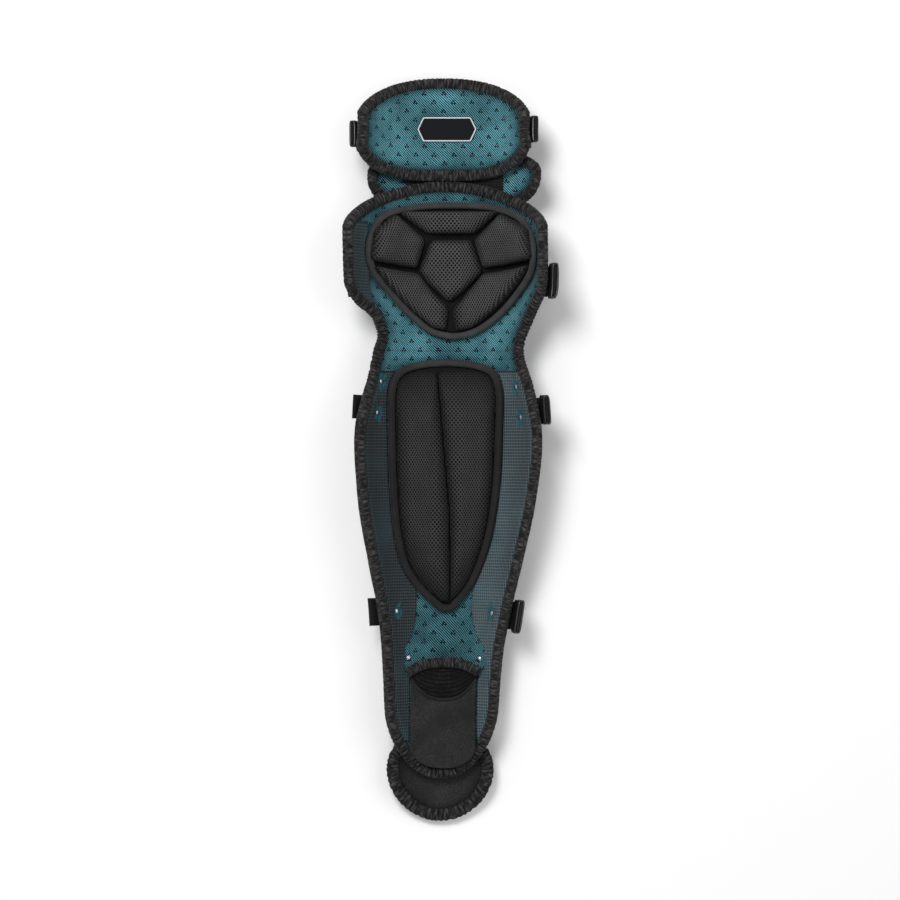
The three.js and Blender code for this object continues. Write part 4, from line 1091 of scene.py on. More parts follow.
def make_shell():
    f = Finish("glossy plate", 0.22, 0.5, coat=0.4)
    grain = f.noise(240, 4)
    scuff = f.step(f.noise(35, 5), 0.55, 0.8)
    dark = color("shell")
    base = f.mix(f.times(scuff, 0.35), dark, tuple(v + 0.012 for v in dark))
    rough = f.add(f.times(scuff, 0.18), 0.2)
    return f.done(base, grain, 0.00006, 0.3, rough)


def make_plastic():
    f = Finish("moulded slide", 0.35, 0.4, coat=0.15)
    grain = f.noise(700, 3)
    base = f.mix(f.noise(80, 3), color("plastic"), scaled(color("plastic"), 1.7))
    rough = f.add(f.times(f.noise(160, 3), 0.2), 0.26)
    return f.done(base, grain, 0.00005, 0.3, rough)


def make_rivet():
    f = Finish("rivet head", 0.28, 0.5, metallic=1.0)
    scratch = f.noise(1200, 4)
    base = f.mix(f.step(scratch, 0.35, 0.7), scaled(color("rivet"), 0.7), color("rivet"))
    return f.done(base, scratch, 0.00003, 0.3, f.add(f.times(scratch, 0.2), 0.18))


def make_label():
    f = Finish("woven patch", 0.65, 0.08)
    across, along = f.cloth()
    weave = f.times(f.lines(along, 0.0008, 0.0005, 0.3), f.lines(across, 0.0006, 0.0004, 0.3))
    dark = scaled(color("label"), 0.7)
    return f.done(f.mix(weave, dark, scaled(color("label"), 1.3)), weave, 0.0002, 0.5)


def make_thread():
    f = Finish("sewing thread", 0.75, 0.15, sheen=0.1)
    twist = f.noise(1800, 2)
    dark = scaled(color("thread"), 0.6)
    twisted = f.mix(twist, dark, scaled(color("thread"), 1.3))
    # Painted light: the stitches are darker on the shin than on the knee.
    return f.done(f.vector("SCALE", twisted, f.painted_light_towards_knee(0.25)), twist, 0.0001, 0.5)


def make_light_thread():
    f = Finish("light border thread", 0.65, 0.35, sheen=0.3)
    twist = f.noise(1400, 2)
    return f.done(f.mix(twist, tone(150, 156, 158), tone(214, 218, 218)), twist, 0.0001, 0.5)


def make_floor():
    f = Finish("pale floor", 0.6, 0.3)
    pale = color("floor")
    return f.done(f.mix(f.noise(3, 4), scaled(pale, 0.985), pale), f.noise(160, 4), 0.0001, 0.2)


def make_pocket_cloth():
    f = Finish("dark pocket cloth", 0.9, 0.15)
    deep = scaled(color("smooth_cloth"), 0.9)
    grain = f.noise(900, 3)
    woven = f.mix(f.step(f.noise(420, 3), 0.35, 0.7), scaled(deep, 0.35), deep)
    # Painted shade in the creases of the folds, through the shade attribute.
    return f.done(f.shaded(woven, 0.12), grain, 0.0002, 0.5)


MAKERS = {
    "teal_lining": make_teal_lining, "black_binding": make_black_binding, "air_mesh": make_air_mesh,
    "groove_mesh": make_groove_mesh, "pad_tape": make_pad_tape, "side_mesh": make_side_mesh,
    "smooth_cloth": make_smooth_cloth, "pocket_cloth": make_pocket_cloth, "webbing": make_webbing,
    "shell": make_shell, "plastic": make_plastic, "rivet": make_rivet, "label": make_label,
    "thread": make_thread, "light_thread": make_light_thread, "floor": make_floor,
}


# Linings

def pillow(distance, low, high, soft):
    """Lower and upper lift of a padded layer that is pinched flat at its edge."""
    middle = (low + high) / 2
    t = np.clip(distance / soft, 0, 1)
    bulge = np.sqrt(np.maximum(1 - (1 - t) ** 2.4, 0))
    bulge = 0.12 + 0.88 * bulge
    return middle - (middle - low) * bulge, middle + (high - middle) * bulge


def rivet_places():
    """Across, along and lift of the rivets."""
    s = sizes()
    spots = []
    for at, share, through in RIVET_ROWS.values():
        along = at * s.leg_length
        lift = s.liner_thick - 0.0013 + (s.mesh_thick if through else 0)
        spots.append((float(across_share(share, along, lift)), along, lift))
    return spots


def pinch_at_rivets(across, along):
    """How far the cloth is drawn in round the rivets, with small folds that run to them."""
    drop = np.zeros_like(across)
    dent, dent_width, ray, ray_width = 0.0022, 0.0055, 0.0007, 0.014
    for i, (x, y, _) in enumerate(rivet_places()):
        away = np.hypot(across - x, along - y)
        turn = np.arctan2(along - y, across - x)
        fold = 0.7 + 0.3 * np.cos(5 * turn + i)
        drop += dent * np.exp(-(away / dent_width) ** 2) * fold
        drop += ray * np.exp(-(away / ray_width) ** 2) * np.cos(3 * turn + 2 * i) ** 2
    return drop


def build_main_liner():
    s = sizes()
    body = inset(main_edge(), s.binding_width * BODY_SHARE)
    tip, row_count, column_count = 0.0002, 300, 76
    closer = (1 - np.cos(np.linspace(0, np.pi, row_count))) / 2
    rows = body[:, 1].min() + tip + (np.ptp(body[:, 1]) - 2 * tip) * closer
    rows = 0.35 * rows + 0.65 * np.linspace(rows[0], rows[-1], row_count)
    ends = spans(body, rows)
    u = np.linspace(-1, 1, column_count)
    u = np.sin(u * np.pi / 2) * 0.35 + u * 0.65
    across = np.where(u[None, :] < 0, -u[None, :] * ends[:, :1], u[None, :] * ends[:, 1:])
    along = np.broadcast_to(rows[:, None], across.shape)
    distance, reach = nearest(body, across, along)
    low, high = pillow(distance, 0, s.liner_thick, EDGE_SOFT)
    at = along / s.leg_length
    amount = smooth(RUFFLE_ROWS, [row[1] for row in RUFFLE_ROWS], at)
    folds = pleat(reach, 0.0055, 3) - 0.6
    high = high + 0.0006 * amount * folds * np.exp(-distance / 0.008) * (distance > 0.001)
    neck = np.exp(-((at - 0.725) / 0.035) ** 2)
    crease = wander(across, along, (0.03, 0.0075), 5)
    high = high + 0.0005 * neck * (crease - 0.7) + 0.00025 * (wander(across, along, (0.018, 0.014), 6) - 1)
    high = high - pinch_at_rivets(across, along)
    high = np.maximum(high, low + 0.0006)
    # Painted shade: the lining darkens next to its binding, beside the pads and in the creases below the knee.
    in_crease = pleat(along, 0.0075, 8) < 0.35
    shade = np.clip((distance - 0.0012) / 0.0075, 0, 1) ** 0.7 * (1 - 0.25 * neck * in_crease)
    for pad in (knee_pad_edge(), shin_pad_edge()):
        shade = shade * (0.45 + 0.55 * np.clip(nearest(pad, across, along)[0] / 0.005, 0, 1))
    obj = skin("main_liner_cloth", across, along, low, high, finish("teal_lining"), shade=shade)
    rest_on_root(obj, "teal_lining", "main_liner")


def build_main_binding():
    s = sizes()
    path = evenly(inset(main_edge(), s.binding_width / 2), 2300)
    obj = roll("main_binding_tape", path, s.liner_thick / 2, s.binding_width, s.binding_thick,
               finish("black_binding"), (0.004, 0.34, 11, RUFFLE_ROWS), sides=20)
    rest_on_root(obj, "black_binding", "main_binding")


def build_oval_part(prefix, outline, low, high, width, thick, pitch, cloth, slot, seed, depth=0.2):
    """Padded oval with its gathered binding."""
    body = evenly(inset(outline, width * 0.84), 280)
    shares = 1 - np.linspace(0, 1, 30)[:-1] ** 1.15

    def lifts(across, along):
        distance, reach = nearest(body, across, along)
        under, top = pillow(distance, low, high, EDGE_SOFT)
        folds = (pleat(reach, pitch * 1.6, seed) - 0.6) * np.exp(-distance / 0.007) * (distance > 0.001)
        soft = wander(across, along, (0.022, 0.014), seed + 1) - 1
        return under, np.maximum(top + 0.00055 * folds + 0.0003 * soft, low + (high - low) * 0.45)

    # Painted shade: the lining darkens next to its binding.
    def shade(across, along):
        return np.clip((nearest(body, across, along)[0] - 0.0012) / 0.006, 0, 1) ** 0.7
    obj = disc(f"{prefix}_liner_cloth", body, shares, lifts, finish(cloth), shade)
    rest_on_root(obj, slot, f"{prefix}_liner")
    ring = inset(outline, width / 2)
    count = int(reach_of(ring)[-1] / 0.0006)
    obj = roll(f"{prefix}_binding_tape", evenly(ring, count), (low + high) / 2, width, thick,
               finish("black_binding"), (pitch, depth, seed + 5, None), sides=20)
    rest_on_root(obj, "black_binding", f"{prefix}_binding")
    return body


def plate_profile(distance, low, high, round_edge):
    t = np.clip(distance / round_edge, 0, 1)
    lip = (high - low) * 0.45 * (1 - np.sqrt(np.maximum(1 - (1 - t) ** 2, 0)))
    return low + lip, high - lip


def build_oval_plate(prefix, body, share, low, high):
    outline = body.mean(0) + (body - body.mean(0)) * share
    shares = 1 - np.linspace(0, 1, 16)[:-1] ** 1.3

    def lifts(across, along):
        return plate_profile(nearest(outline, across, along)[0], low, high, PLATE_ROUND)
    obj = disc(f"{prefix}_plate", evenly(outline, 200), shares, lifts, finish("shell"))
    rest_on_root(obj, "black_shell", f"{prefix}_shell")


def build_main_plates():
    body = inset(main_edge(), sizes().shell_inset)
    corner, at_end = 0.022, 0.88
    for name in ("knee", "shin"):
        low_corner, high_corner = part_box(f"{name}_shell")
        rows = np.linspace(low_corner.y - ORIGIN[1], high_corner.y - ORIGIN[1], 100)
        near = np.minimum(np.minimum(rows - rows[0], rows[-1] - rows), corner) / corner
        reach = np.abs(spans(body, rows)) * (at_end + (1 - at_end) * np.sqrt(1 - (1 - near) ** 2))[:, None]
        u = np.linspace(-1, 1, 76)
        across = np.where(u[None, :] < 0, u[None, :] * reach[:, :1], u[None, :] * reach[:, 1:])
        along = np.broadcast_to(rows[:, None], across.shape)
        inside = np.minimum((1 - np.abs(u))[None, :] * reach.mean(1)[:, None],
                            np.minimum(along - rows[0], rows[-1] - along))
        low, high = plate_profile(inside, shell_low(), shell_high(), PLATE_ROUND)
        obj = skin(f"{name}_plate", across, along, low, high, finish("shell"))
        rest_on_root(obj, "black_shell", f"{name}_shell")


# Pads

def puffed(obj, fixed_below, cap):
    """The flat pattern blown up a little as cloth, held at its seam; no point moves further than the cap."""
    remesh = obj.modifiers.new("even", "REMESH")
    remesh.mode = "VOXEL"
    remesh.voxel_size = CLOTH_VOXEL
    apply_modifiers(obj)
    start = points_of(obj.data)
    group = obj.vertex_groups.new(name="seam")
    group.add([int(i) for i in np.nonzero(start[:, 2] < fixed_below)[0]], 1.0, "REPLACE")
    cloth = obj.modifiers.new("cloth", "CLOTH")
    cloth.settings.quality = 4
    cloth.settings.mass = 0.2
    cloth.settings.use_pressure = True
    cloth.settings.uniform_pressure_force = CLOTH_PRESSURE
    cloth.settings.vertex_group_mass = "seam"
    cloth.settings.effector_weights.gravity = 0
    cloth.point_cache.frame_start = 1
    cloth.point_cache.frame_end = CLOTH_FRAMES
    for number in range(1, CLOTH_FRAMES + 1):
        bpy.context.scene.frame_set(number)
    apply_modifiers(obj)
    bpy.context.scene.frame_set(1)
    after = points_of(obj.data)
    move = after - start
    size = np.linalg.norm(move, axis=1, keepdims=True)
    move *= np.minimum(1, cap / np.maximum(size, 1e-9))
    obj.data.vertices.foreach_set("co", (start + move).ravel())
    subdivide = obj.modifiers.new("smooth", "SUBSURF")
    subdivide.levels = subdivide.render_levels = 1
    apply_modifiers(obj)
    return obj


def apply_modifiers(obj):
    """Turns the result of the object's modifiers into its mesh."""
    depsgraph = bpy.context.evaluated_depsgraph_get()
    mesh = bpy.data.meshes.new_from_object(obj.evaluated_get(depsgraph))
    old = obj.data
    obj.modifiers.clear()
    obj.data = mesh
    bpy.data.meshes.remove(old)


def flat_cushion(name, outline, low, height, power):
    """Pattern of a cushion before it is laid on the form: across, along and lift."""
    shares = 1 - np.linspace(0, 1, 26)[:-1] ** 1.3
    centre = outline.mean(0)
    rings = centre + (outline - centre) * shares[:, None, None]
    top = low + height * (0.08 + 0.92 * (1 - shares ** power) ** 0.62)
    count = len(outline)
    mesh = bmesh.new()
    upper = [[mesh.verts.new((x, y, z)) for x, y in ring] for ring, z in zip(rings, top)]
    peak = mesh.verts.new((*centre, top[-1]))
    base = [mesh.verts.new((x, y, low)) for x, y in outline]
    foot = mesh.verts.new((*centre, low))
    for k in range(count):
        j = (k + 1) % count
        for one, two in zip(upper, upper[1:]):
            mesh.faces.new((one[k], one[j], two[j], two[k]))
        mesh.faces.new((upper[-1][k], upper[-1][j], peak))
        mesh.faces.new((base[k], base[j], upper[0][j], upper[0][k]))
        mesh.faces.new((base[j], base[k], foot))
    data = bpy.data.meshes.new(name)
    mesh.to_mesh(data)
    mesh.free()
    return linked(name, data)


def lay_on_form(obj, name, finish_name):
    """Bends a flat pattern onto the form, maps its cloth and paints shade on its low sides."""
    flat = points_of(obj.data)
    faces = [list(p.vertices) for p in obj.data.polygons]
    data = obj.data
    bpy.data.objects.remove(obj)
    bpy.data.meshes.remove(data)
    lift = flat[:, 2]
    crown = (lift - lift.min()) / np.ptp(lift)
    # Painted shade: darker from the crown down to the cushion's foot.
    shade = np.clip((crown - 0.14) / 0.66, 0, 1) ** 1.3
    spots = place(flat[:, 0], flat[:, 1], lift)
    return new_mesh(name, spots, faces, flat[:, :2].copy(), finish(finish_name), shade)


def build_pad_base(prefix, outline, tape_width, seed):
    s = sizes()
    body = evenly(inset(outline, tape_width * 0.97), 320)
    shares = 1 - np.linspace(0, 1, 26)[:-1] ** 1.1

    def lifts(across, along):
        under, top = pillow(nearest(body, across, along)[0], pad_low(), base_high(), 0.003)
        return under, top + 0.00012 * (wander(across, along, (0.006, 0.006), seed) - 1)
    obj = disc(f"{prefix}_base_mesh", body, shares, lifts, finish("groove_mesh"))
    rest_on_root(obj, "black_mesh", f"{prefix}_base")
    path = evenly(inset(outline, tape_width / 2), int(reach_of(outline)[-1] / 0.0012))
    obj = roll(f"{prefix}_edge_tape", path, pad_low() + s.tape_thick / 2, tape_width, s.tape_thick,
               finish("pad_tape"), sides=16, square=2.8)
    rest_on_root(obj, "grey_tape", f"{prefix}_tape")


def build_knee_pad():
    s = sizes()
    build_pad_base("knee_pad", knee_pad_edge(), s.knee_tape_width, 21)
    for name, corners in KNEE_CUSHION_ROWS.items():
        seen = np.array([knee_pad_seen(x, y) for x, y in corners])
        lift = base_high() + s.knee_cushion_height / 2
        points = np.stack([across_at(seen[:, 0], seen[:, 1], lift), seen[:, 1]], 1)
        x, y = points[:, 0], points[:, 1]
        if (x * np.roll(y, -1) - np.roll(x, -1) * y).sum() < 0:
            points = points[::-1]
        outline = evenly(inset(rounded(points, 0.0014), -0.0012), 180)
        obj = flat_cushion(name, outline, cushion_low(), s.knee_cushion_height * 0.95, 4.4)
        obj = puffed(obj, cushion_low() + SEAM_LIFT, 0.0012)
        obj = lay_on_form(obj, f"knee_cushion_{name}_mesh", "air_mesh")
        rest_on_root(obj, "black_mesh", f"knee_cushion_{name}")


def shin_halves():
    """Outlines of the two shin cushions on either side of the seam."""
    s = sizes()
    seam_width = 0.0009
    body = inset(shin_pad_edge(), s.shin_tape_width + 0.0004)
    down = np.linspace(0.036, 0.966, 140)
    ends = []
    for share in down:
        along = shin_pad_seen(0, share)[1]
        seam = -0.16 + 0.25 * min(share * 1.6, 1)
        x = shin_pad_seen(seam, share)[0]
        middle = float(across_at(x, along, base_high() + s.shin_cushion_height))
        left, right = spans(body, [along])[0]
        ends.append((along, min(left, middle - 0.001), middle, max(right, middle + 0.001)))
    ends = np.array(ends)
    left = np.vstack([ends[:, [2, 0]][::-1] - [seam_width / 2, 0], ends[:, [1, 0]]])
    right = np.vstack([ends[:, [3, 0]][::-1], ends[:, [2, 0]] + [seam_width / 2, 0]])
    return {"left": left, "right": right}


def build_shin_pad():
    s = sizes()
    build_pad_base("shin_pad", shin_pad_edge(), s.shin_tape_width, 25)
    for side, corners in shin_halves().items():
        outline = evenly(inset(rounded(corners, 0.0022), -0.0003), 320)
        obj = flat_cushion(side, outline, cushion_low(), s.shin_cushion_height * 1.05, 2.1)
        obj = puffed(obj, cushion_low() + SEAM_LIFT, 0.0016)
        obj = lay_on_form(obj, f"shin_cushion_{side}_mesh", "air_mesh")
        rest_on_root(obj, "black_mesh", f"shin_cushion_{side}")


def sheet_facts(across, along):
    """Flat width, length and area of a thin cloth that was laid on the form."""
    points = place(across, along, pad_low() + sizes().mesh_thick / 2)
    a = np.cross(points[1:, :-1] - points[:-1, :-1], points[:-1, 1:] - points[:-1, :-1])
    b = np.cross(points[:-1, 1:] - points[1:, 1:], points[1:, :-1] - points[1:, 1:])
    area = float((np.linalg.norm(a, axis=-1) + np.linalg.norm(b, axis=-1)).sum() / 2)
    tall = float(np.linalg.norm(np.diff(points[:, points.shape[1] // 2], axis=0), axis=1).sum())
    wide = float(max(np.linalg.norm(np.diff(points, axis=1), axis=2).sum(1)))
    return max(wide, area / tall * 1.001), tall, area


def build_side_meshes():
    s = sizes()
    body = inset(main_edge(), s.binding_width * BODY_SHARE)
    strips = (
        ("side_mesh_left", -1, (0.064, 0.682), shin_pad_edge(), 1, 270),
        ("side_mesh_right", 1, (0.064, 0.682), shin_pad_edge(), 2, 270),
        ("wing_mesh_left", -1, (0.795, 0.93), knee_pad_edge(), None, 80),
    )
    for name, side, (start, end), pad, column, count in strips:
        rows = np.linspace(start, end, count) * s.leg_length
        end_side = 0 if side < 0 else 1
        outer = np.abs(spans(body, rows)[:, end_side])
        inner = np.full(count, 0.755)
        if column:
            inner = smooth(SIDE_MESH_ROWS, [row[column] for row in SIDE_MESH_ROWS], rows / s.leg_length)
        beside = np.abs(spans(pad, rows)[:, end_side]) + 0.0004
        panel = np.where(rows < 0.17 * s.leg_length, 0.0325 + side * 0.002, 0)
        inner_at = np.maximum(np.abs(across_share(inner, rows, pad_low())), np.maximum(beside, panel))
        inner_at = np.minimum(inner_at, outer - 0.0004)
        u = np.linspace(0, 1, 32)
        reach = inner_at[:, None] + (outer - inner_at)[:, None] * u[None, :]
        across = side * reach[:, ::side]
        along = np.broadcast_to(rows[:, None], across.shape)
        ripple = 0.00012 * wander(across, along, (0.009, 0.02), 31)
        liner_top = pillow(nearest(body, across, along)[0], 0, s.liner_thick, EDGE_SOFT)[1]
        low = liner_top + ripple + 0.0006 - pinch_at_rivets(across, along)
        # Painted shade: the strip darkens over its top 2.2 mm, along its seam.
        seam = np.clip((end * s.leg_length - along) / 0.0022, 0, 1)
        high = low + s.mesh_thick * 0.6
        obj = skin(f"{name}_cloth", across, along, low, high, finish("side_mesh"), shade=seam)
        bare = bare_patches(obj)
        obj.data.attributes.new("bare", "FLOAT", "POINT").data.foreach_set("value", bare)
        rest_on_root(obj, "side_mesh", name)
        wide, tall, area = sheet_facts(across, along)


def bare_patches(obj):
    """1 round the rivets, where the lining shows clearly through a mesh strip."""
    spots = points_of(obj.data)
    seats = np.array([place(*rivet) for rivet in rivet_places()])
    away = np.linalg.norm((spots[:, None, :] - seats[None, :, :]) * (1, 0.62, 1), axis=2).min(1)
    return 1 - np.clip((away - 0.0025) / 0.0055, 0, 1)


# Ankle

def build_ankle():
    s = sizes()
    half, shift = 0.036, 0.002
    arch_top, arch_drop = 0.195 * s.leg_length, 0.0075
    arch_width, arch_thick = 0.0086, 0.0064
    lip_drop, lip_depth, lip_thick = 0.0285, 0.016, 0.0024
    panel_thick, pocket_thick = 0.0035, 0.0012
    side = half - 0.004
    panel_top = arch_top - lip_drop + lip_depth

    def lip(u):
        return panel_top - lip_depth * (1 - u * u)
    u = np.linspace(-1, 1, 190)
    path = np.stack([shift + u * half, arch_top - arch_drop * u * u], 1)
    obj = roll("ankle_arch_tape", path, pad_low() + arch_thick / 2, arch_width, arch_thick,
               finish("black_binding"), (0.0036, 0.2, 41, None), closed=False)
    rest_on_root(obj, "black_binding", "ankle_arch")
    u = np.linspace(-1, 1, 80)
    v = np.linspace(0, 1, 70)[:, None]
    start = lip(u) - 0.0012
    end = np.maximum(arch_top - arch_drop * u * u - arch_width * 0.3, start + 0.0005)
    along = start + (end - start) * v
    across = np.broadcast_to(shift + u * side * 1.02, along.shape)
    curved = along - 12 * across * across
    folds = pleat(curved, 0.0034, 44) * (0.7 + 0.3 * wander(across, along, (0.011, 0.006), 43))
    low = pad_low() + 0.0001 + 0 * along
    high = pad_low() + pocket_thick + 0.0012 * (folds - 0.3)
    # Painted shade: darker in the creases between the pocket's folds.
    shade = np.clip(folds, 0, 1) ** 1.5
    obj = skin("ankle_pocket_cloth", across, along, low, high, finish("pocket_cloth"), shade=shade)
    rest_on_root(obj, "black_cloth", "ankle_pocket")
    u = np.linspace(-1, 1, 90)
    v = np.linspace(0, 1, 100)[:, None]
    bottom = s.binding_width * 0.94 + 0.0218 * (1 - np.sqrt(1 - 0.9 * u * u))
    slope = np.hypot(1, 2 * lip_depth * u / side)
    top = lip(u) - (lip_thick / 2) * (1 + slope) - 0.0002
    along = bottom + (top - bottom) * v
    across = np.broadcast_to(shift + u * side, along.shape)
    near = np.minimum((1 - np.abs(u)) * side, np.minimum(along - bottom, top - along + 0.002))
    low, high = pillow(near, pad_low(), pad_low() + panel_thick, 0.005)
    high = high + 0.00035 * (wander(across, along, (0.02, 0.011), 45) - 1) * np.clip(near / 0.004, 0, 1)
    obj = skin("ankle_panel_cloth", across, along, low, high, finish("smooth_cloth"))
    rest_on_root(obj, "black_cloth", "ankle_panel")
    u = np.linspace(-1, 1, 120)
    path = np.stack([shift + u * side, lip(u) - lip_thick / 2], 1)
    obj = roll("ankle_lip_piping", path, pad_low() + panel_thick / 2 + 0.0003, lip_thick, panel_thick,
               finish("pad_tape"), closed=False, sides=14)
    rest_on_root(obj, "grey_tape", "ankle_lip")


# Straps, slides, link band, label and rivets

def strap_centre(name):
    """Middle line, end reach and valley of a strap."""
    at, width, left, right, slant, rests, slides = STRAP_ROWS[name]
    centre = at * sizes().leg_length
    ends = (float(across_angle(left, centre)), float(across_angle(right, centre)))
    valley = float(section(centre)[4]) if rests else None
    return centre, width * sizes().strap_width, ends, slant * sizes().strap_slant, valley, slides


def build_straps():
    for name in STRAP_ROWS:
        centre, width, ends, slant, valley, slides = strap_centre(name)
        across = np.linspace(-ends[0], ends[1], 150)
        v = np.sin(np.linspace(-np.pi / 2, np.pi / 2, 15))[:, None]
        along = centre + slant * across / ends[1] + v * width / 2
        across = np.broadcast_to(across, along.shape)
        edge = np.abs(v) ** 8 * np.ones_like(across) * (strap_high() - strap_low()) * 0.3
        obj = skin(f"strap_{name}_webbing", across, along, strap_low() + 0 * across, strap_high() - edge,
                   finish("webbing"), valley)
        rest_on_root(obj, "black_webbing", f"strap_{name}")
        for side in slides:
            build_slide(name, side, centre, width, ends, slant, valley)


def build_slide(name, side, centre, width, ends, slant, valley):
    """Moulded sleeve that the strap runs through, with rounded corners and rims."""
    s = sizes()
    tail, clearance = 0.001, 0.0005
    tip = ends[0 if side == "left" else 1] - tail
    start = -tip if side == "left" else tip - s.slide_length
    lift = (strap_low() + strap_high()) / 2
    turn = 2 * np.pi * (np.arange(56) + 0.5) / 56
    inner = width / 2 + clearance, s.strap_thick / 2 + clearance
    hole = squarish(turn, *inner, 9)
    outer = squarish(turn, *(half + s.slide_wall for half in inner), 5)
    shares = np.linspace(0, 1, 15)
    rim = 0.45 * (1 - np.sqrt(1 - np.clip(np.abs(2 * shares - 1) * 1.18 - 0.18, 0, 1) ** 6))
    waist = 0.1 * np.cos(np.pi * (2 * shares - 1)) * (np.abs(2 * shares - 1) < 0.5)
    rings = []
    for share, drop, pull in zip(shares, rim, waist):
        across = start + s.slide_length * share
        middle = centre + slant * across / ends[1]
        blend = drop + pull
        x = outer[0] + (hole[0] - outer[0]) * blend
        y = outer[1] + (hole[1] - outer[1]) * blend
        rings.append(place(across, middle + x, lift + y, valley))
    for share in shares[::-1]:
        across = start + s.slide_length * share
        middle = centre + slant * across / ends[1]
        rings.append(place(across, middle + hole[0], lift + hole[1], valley))
    points = np.array(rings)
    count = len(turn)
    faces = []
    for i in range(len(rings)):
        j = (i + 1) % len(rings)
        for k in range(count):
            m = (k + 1) % count
            faces.append([i * count + k, i * count + m, j * count + m, j * count + k])
    uv = np.zeros((len(rings) * count, 2))
    obj = new_mesh(f"slide_{name}_{side}_plastic", points, faces, uv, finish("plastic"))
    rest_on_root(obj, "black_plastic", f"slide_{name}_{side}")


def build_link_band():
    s = sizes()
    half, shift, thick, rib_pitch, rib_depth = 0.038, 0.008, 0.0024, 0.0021, 0.0007
    low = flap_high() + s.layer_gap + 1.2 * s.pad_gap
    rows = np.linspace(-0.01, 0.005, 90) + s.leg_length
    across = np.broadcast_to(shift + np.linspace(-1, 1, 60) * half, (90, 60))
    along = np.broadcast_to(rows[:, None], across.shape)
    rib = np.abs(np.sin(np.pi * (along - rows[0]) / rib_pitch)) ** 0.6
    high = low + thick - rib_depth * (1 - rib)
    obj = skin("link_band_elastic", across, along, low + 0 * across, high, finish("webbing"))
    rest_on_root(obj, "black_webbing", "link_band")


def label_outline():
    centre, half_width, height = thigh_edge()[1], 0.024, 0.02
    corners = ((0.8, -0.5), (1, 0), (0.8, 0.5), (-0.8, 0.5), (-1, 0), (-0.8, -0.5))
    seen = [(x * half_width, centre + y * height) for x, y in corners]
    return rounded([(float(across_at(x, y, pad_low())), y) for x, y in seen], 0.0008)


def build_label():
    outline = label_outline()
    thick = 0.0008
    shares = 1 - np.linspace(0, 1, 12)[:-1]

    def lifts(across, along):
        inside = np.clip(nearest(outline, across, along)[0] / 0.0012, 0, 1)
        return pad_low() + 0 * inside, pad_low() + thick * (0.55 + 0.45 * inside)
    obj = disc("thigh_label_patch", evenly(outline, 160), shares, lifts, finish("label"))
    rest_on_root(obj, "label_film", "thigh_label")
    path = evenly(inset(outline, 0.0007), 240)
    border = roll("thigh_label_border", path, pad_low() + thick, 0.0011, 0.0006, finish("light_thread"),
                  sides=10)
    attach(border, "root")


def rivet_head():
    """Domed head with a rolled rim, round its own upright axis."""
    s = sizes()
    r, h = s.rivet_radius, s.rivet_height
    profile = ((0, 0), (r, 0), (r, h * 0.35), (r * 0.94, h * 0.5), (r * 0.82, h * 0.52),
               (r * 0.76, h * 0.62), (r * 0.5, h * 0.9), (r * 0.2, h), (0, h))
    mesh = bmesh.new()
    for a, b in zip(profile, profile[1:]):
        mesh.edges.new((mesh.verts.new((a[0], 0, a[1])), mesh.verts.new((b[0], 0, b[1]))))
    bmesh.ops.spin(mesh, geom=mesh.verts[:] + mesh.edges[:], cent=(0, 0, 0), axis=(0, 0, 1),
                   angle=2 * math.pi, steps=28)
    bmesh.ops.remove_doubles(mesh, verts=mesh.verts, dist=1e-6)
    bmesh.ops.recalc_face_normals(mesh, faces=mesh.faces)
    data = bpy.data.meshes.new("rivet_head")
    mesh.to_mesh(data)
    mesh.free()
    data.polygons.foreach_set("use_smooth", np.ones(len(data.polygons), bool))
    return linked("rivet_head", data)


def build_rivets():
    t = Shape("Rivet heads", (("Head", "NodeSocketObject"),))
    head = t.node("GeometryNodeObjectInfo", Object=t.given["Head"])
    upright = t.node("FunctionNodeAlignRotationToVector", Vector=t.named("facing", "FLOAT_VECTOR"))
    upright.axis = "Z"
    t.ends(t.node("GeometryNodeInstanceOnPoints", Points=t.given["Geometry"], Instance=head.outputs["Geometry"],
                  Rotation=upright.outputs[0]).outputs[0])
    spots = np.array(rivet_places())
    points = place(spots[:, 0], spots[:, 1], spots[:, 2])
    normals = place(spots[:, 0], spots[:, 1], spots[:, 2] + NORMAL_STEP) - points
    normals /= np.linalg.norm(normals, axis=1, keepdims=True)
    data = bpy.data.meshes.new("rivet_points")
    data.from_pydata(points.tolist(), [], [])
    attribute = data.attributes.new("facing", "FLOAT_VECTOR", "POINT")
    attribute.data.foreach_set("vector", normals.ravel())
    seat = linked("rivet_points", data)
    head = rivet_head()
    made = t.run(seat, "rivet_heads", {"Head": head, "Finish": finish("rivet")})
    bpy.data.objects.remove(head)
    rest_on_root(made, "rivet_metal", *(f"rivet_{name}" for name in RIVET_ROWS))


def stitch_lines():
    """Points of the closed sewn lines on the tapes of the two pads."""
    s = sizes()
    top = pad_low() + s.tape_thick - THREAD_SINK
    for outline, tape_width in ((knee_pad_edge(), s.knee_tape_width), (shin_pad_edge(), s.shin_tape_width)):
        even = evenly(inset(outline, tape_width * SEAM_SHARE), 500)
        yield place(even[:, 0], even[:, 1], top)


